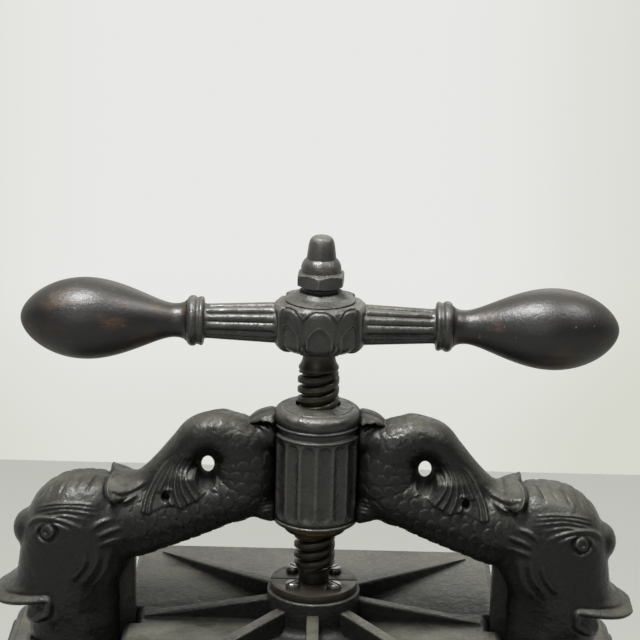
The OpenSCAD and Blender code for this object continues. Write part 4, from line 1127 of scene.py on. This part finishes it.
class PRESS_OT_keeper(bpy.types.Operator):
    """Rounds the split keeper and its slotted screws, and finishes the pieces inside"""

    bl_idname = "press.keeper"
    bl_label = "Keeper, bolts and nut"

    def execute(self, context):
        steel = oiled_steel()
        bright = turned_metal("turned_bright_steel", colours().bright, 0.987)
        gunmetal = turned_metal("turned_gunmetal", colours().bronze, 1.3817)
        softened("split_keeper_front", "keeper_front", steel, "platen_body", 0.5)
        softened("split_keeper_back", "keeper_back", steel, "platen_body", 0.5)
        softened("slotted_keeper_screws", "keeper_screws", bright, "platen_body", 0.2)
        softened("hex_arch_bolts", "arch_bolts", steel, "frame", 0.4)
        softened("round_bolt_washers", "arch_bolt_washers", steel, "frame", 0.3)
        rim = FLANGE - 0.02
        flanged = [(13.1, 0.4), (13.5, 0), (17.4, 0), (19.2, 0.8), (20, 2.6), (20, rim), (18, rim),
                   (18, 64.6), (17.6, 65), (13.1, 65)]
        rings = turned(filled(eased(flanged, 0.4, 3), 4), circle(72))
        nut = moved(shell(rings, bored=True), z=BOSS_Z - FLANGE)
        piece("flanged_nut", nut, gunmetal, "frame", ("screw_nut",), 45)
        for node, finish in (("nut_lock_screw", steel), ("thrust_disc", bright), ("grip_tang_left", steel),
                             ("grip_tang_right", steel)):
            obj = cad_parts[node]
            obj.data.materials.clear()
            obj.data.materials.append(finish)
        return {"FINISHED"}


def painted_board():
    """Board painted matt and pale, with faint clouds. It throws little light back under the press, and keeps
    its tone to the eye far off, where the lamps fade."""
    material, tree = fresh("matt_painted_board")
    if tree is None:
        return material
    c = colours()
    place = add(tree, "TexCoord", output="Object")
    thrown = add(tree, "LightPath", output="Is Diffuse Ray")
    cloud = add(tree, "TexNoise", {"Vector": place, "Scale": per_mm(300), "Detail": 3})
    tone = rgba(c.table)
    for share, over in ((cloud, [0.9 * part for part in c.table]), (thrown, linear("#5c5d59"))):
        tone = add(tree, "Mix", {0: share, 6: tone, 7: rgba(over)}, 2, data_type="RGBA")
    near = add(tree, "BsdfPrincipled", {"Base Color": tone, "Roughness": 0.6})
    distant = add(tree, "Emission", {"Color": rgba(linear("#c6c8c0")), "Strength": 1.0})
    away = add(tree, "VectorMath", {0: place}, "Value", operation="LENGTH")
    far = add(tree, "MapRange", {0: away, 1: 0.55, 2: 1.3, 3: 0, 4: 1}, interpolation_type="SMOOTHSTEP")
    seen = add(tree, "Math", {0: 1.0, 1: thrown}, operation="SUBTRACT")
    fade = add(tree, "Math", {0: far, 1: seen}, operation="MULTIPLY")
    add(tree, "OutputMaterial", {"Surface": add(tree, "MixShader", {0: fade, 1: near, 2: distant})})
    return material


def soft_room():
    """Dim even light, and a pale plastered wall to the eye, in glass, and in metal that faces it."""
    world = bpy.data.worlds.new("soft_room")
    world.use_nodes = True
    tree = world.node_tree
    tree.nodes.clear()
    way = add(tree, "SeparateXYZ", {0: add(tree, "TexCoord", output="Generated")}).node.outputs
    ray = add(tree, "LightPath").node.outputs
    # Painted shade on the wall: it is a little darker to both sides and towards the table
    right, left, low = (
        add(tree, "MapRange", dict(enumerate(row)), interpolation_type="SMOOTHSTEP") for row in (
            (way["X"], 0.045, 0.19, 0, 1), (way["X"], -0.09, -0.19, 0, 0.6),
            (way["Z"], -0.27, -0.35, 0, 0.55)))
    sides = add(tree, "Math", {0: right, 1: left}, operation="ADD")
    dim = add(tree, "Math", {0: sides, 1: low}, operation="ADD", use_clamp=True)
    pale, shaded = rgba(colours().wall), rgba(linear("#d6d7cd"))
    shaded_plaster = add(tree, "Mix", {0: dim, 6: pale, 7: shaded}, 2, data_type="RGBA")
    wall = add(tree, "Background", {"Color": shaded_plaster, "Strength": 1.0})
    air = add(tree, "Background", {"Color": rgba(linear("#e4e8ec")), "Strength": 0.1})
    behind = add(tree, "MapRange", {0: way["Y"], 1: 0, 2: 0.3, 3: 0.12, 4: 1})
    shiny = add(tree, "Math", {0: ray["Is Glossy Ray"], 1: behind}, operation="MULTIPLY")
    seen = ray["Is Camera Ray"]
    for other in (ray["Is Transmission Ray"], shiny):
        seen = add(tree, "Math", {0: seen, 1: other}, operation="MAXIMUM")
    add(tree, "OutputWorld", {"Surface": add(tree, "MixShader", {0: seen, 1: air, 2: wall})})
    return world


def set_up(name, data, at, aim, roll=0.0):
    """Lamp or camera in its place, turned to what it looks at, from metres."""
    obj = bpy.data.objects.new(name, data)
    look = (Vector(aim) - Vector(at)).to_track_quat("-Z", "Y").to_matrix().to_4x4()
    obj.matrix_world = Matrix.Translation(at) @ look @ Matrix.Rotation(roll, 4, "Z")
    bpy.context.scene.collection.objects.link(obj)
    return obj


class PRESS_OT_stage(bpy.types.Operator):
    """Lays the table and the wall, hangs the lights and sets up the camera"""

    bl_idname = "press.stage"
    bl_label = "Stage"

    def execute(self, context):
        scene = context.scene
        half, back = 4.0, 0.482
        mesh = bpy.data.meshes.new("table_top")
        corners = [(-half, -half, 0), (half, -half, 0), (half, back, 0), (-half, back, 0)]
        mesh.from_pydata(corners, [], [(0, 1, 2, 3)])
        mesh.materials.append(painted_board())
        table = bpy.data.objects.new("table_top", mesh)
        scene.collection.objects.link(table)
        # Place in metres, diameter and power of each lamp
        for name, at, wide, power in (
                ("key", (-0.4, -0.35, 1.8), 0.5, 54.0), ("second", (0.9, -0.25, 1.8), 0.55, 19.0),
                ("fill", (-0.6, -1.9, 1.1), 1.3, 7.0), ("back", (0.5, 2.0, 1.3), 1.4, 6.0)):
            lamp = bpy.data.lights.new(name, "AREA")
            lamp.shape = "DISK"
            lamp.size = wide
            lamp.energy = power
            set_up(name, lamp, at, (0, 0, 0.2))
        scene.world = soft_room()
        scene.view_settings.view_transform = "Standard"
        lens = bpy.data.cameras.new("camera")
        lens.sensor_width = 36
        # The focal length is 2300 picture elements of a 640 wide image
        lens.lens = lens.sensor_width * 2300 / 640
        tilt, reach, roll = math.radians(17), 1.39, math.radians(1.4)
        aim = Vector((0, 0, (ARM_Z + 2.2) * MM))
        at = aim + Vector((0, -math.cos(tilt), math.sin(tilt))) * reach
        scene.camera = set_up("camera", lens, at, aim, roll)
        return {"FINISHED"}


class PRESS_PT_panel(bpy.types.Panel):
    """Lists the steps that build the press"""

    bl_idname = "PRESS_PT_panel"
    bl_label = "Copying press"
    bl_space_type = "VIEW_3D"
    bl_region_type = "UI"
    bl_category = "Press"

    def draw(self, context):
        for operator in OPERATORS:
            self.layout.operator(operator.bl_idname)
        for group in (context.scene.press_sizes, context.scene.press_colours):
            for name in group.__annotations__:
                self.layout.prop(group, name)


OPERATORS = (PRESS_OT_stage, PRESS_OT_dolphins, PRESS_OT_boss, PRESS_OT_handle, PRESS_OT_grips,
             PRESS_OT_screw, PRESS_OT_top_nut, PRESS_OT_base, PRESS_OT_platen, PRESS_OT_keeper)
CLASSES = (PressSizes, PressColours, *OPERATORS, PRESS_PT_panel)


def register():
    for cls in CLASSES:
        bpy.utils.register_class(cls)
    bpy.types.Scene.press_sizes = PointerProperty(type=PressSizes)
    bpy.types.Scene.press_colours = PointerProperty(type=PressColours)


def unregister():
    del bpy.types.Scene.press_colours
    del bpy.types.Scene.press_sizes
    for cls in reversed(CLASSES):
        bpy.utils.unregister_class(cls)


def main():
    register()
    bpy.ops.press.stage()
    bpy.ops.press.dolphins()
    bpy.ops.press.boss()
    bpy.ops.press.handle()
    bpy.ops.press.grips()
    bpy.ops.press.screw()
    bpy.ops.press.top_nut()
    bpy.ops.press.base()
    bpy.ops.press.platen()
    bpy.ops.press.keeper()


if __name__ == "__main__":
    main()
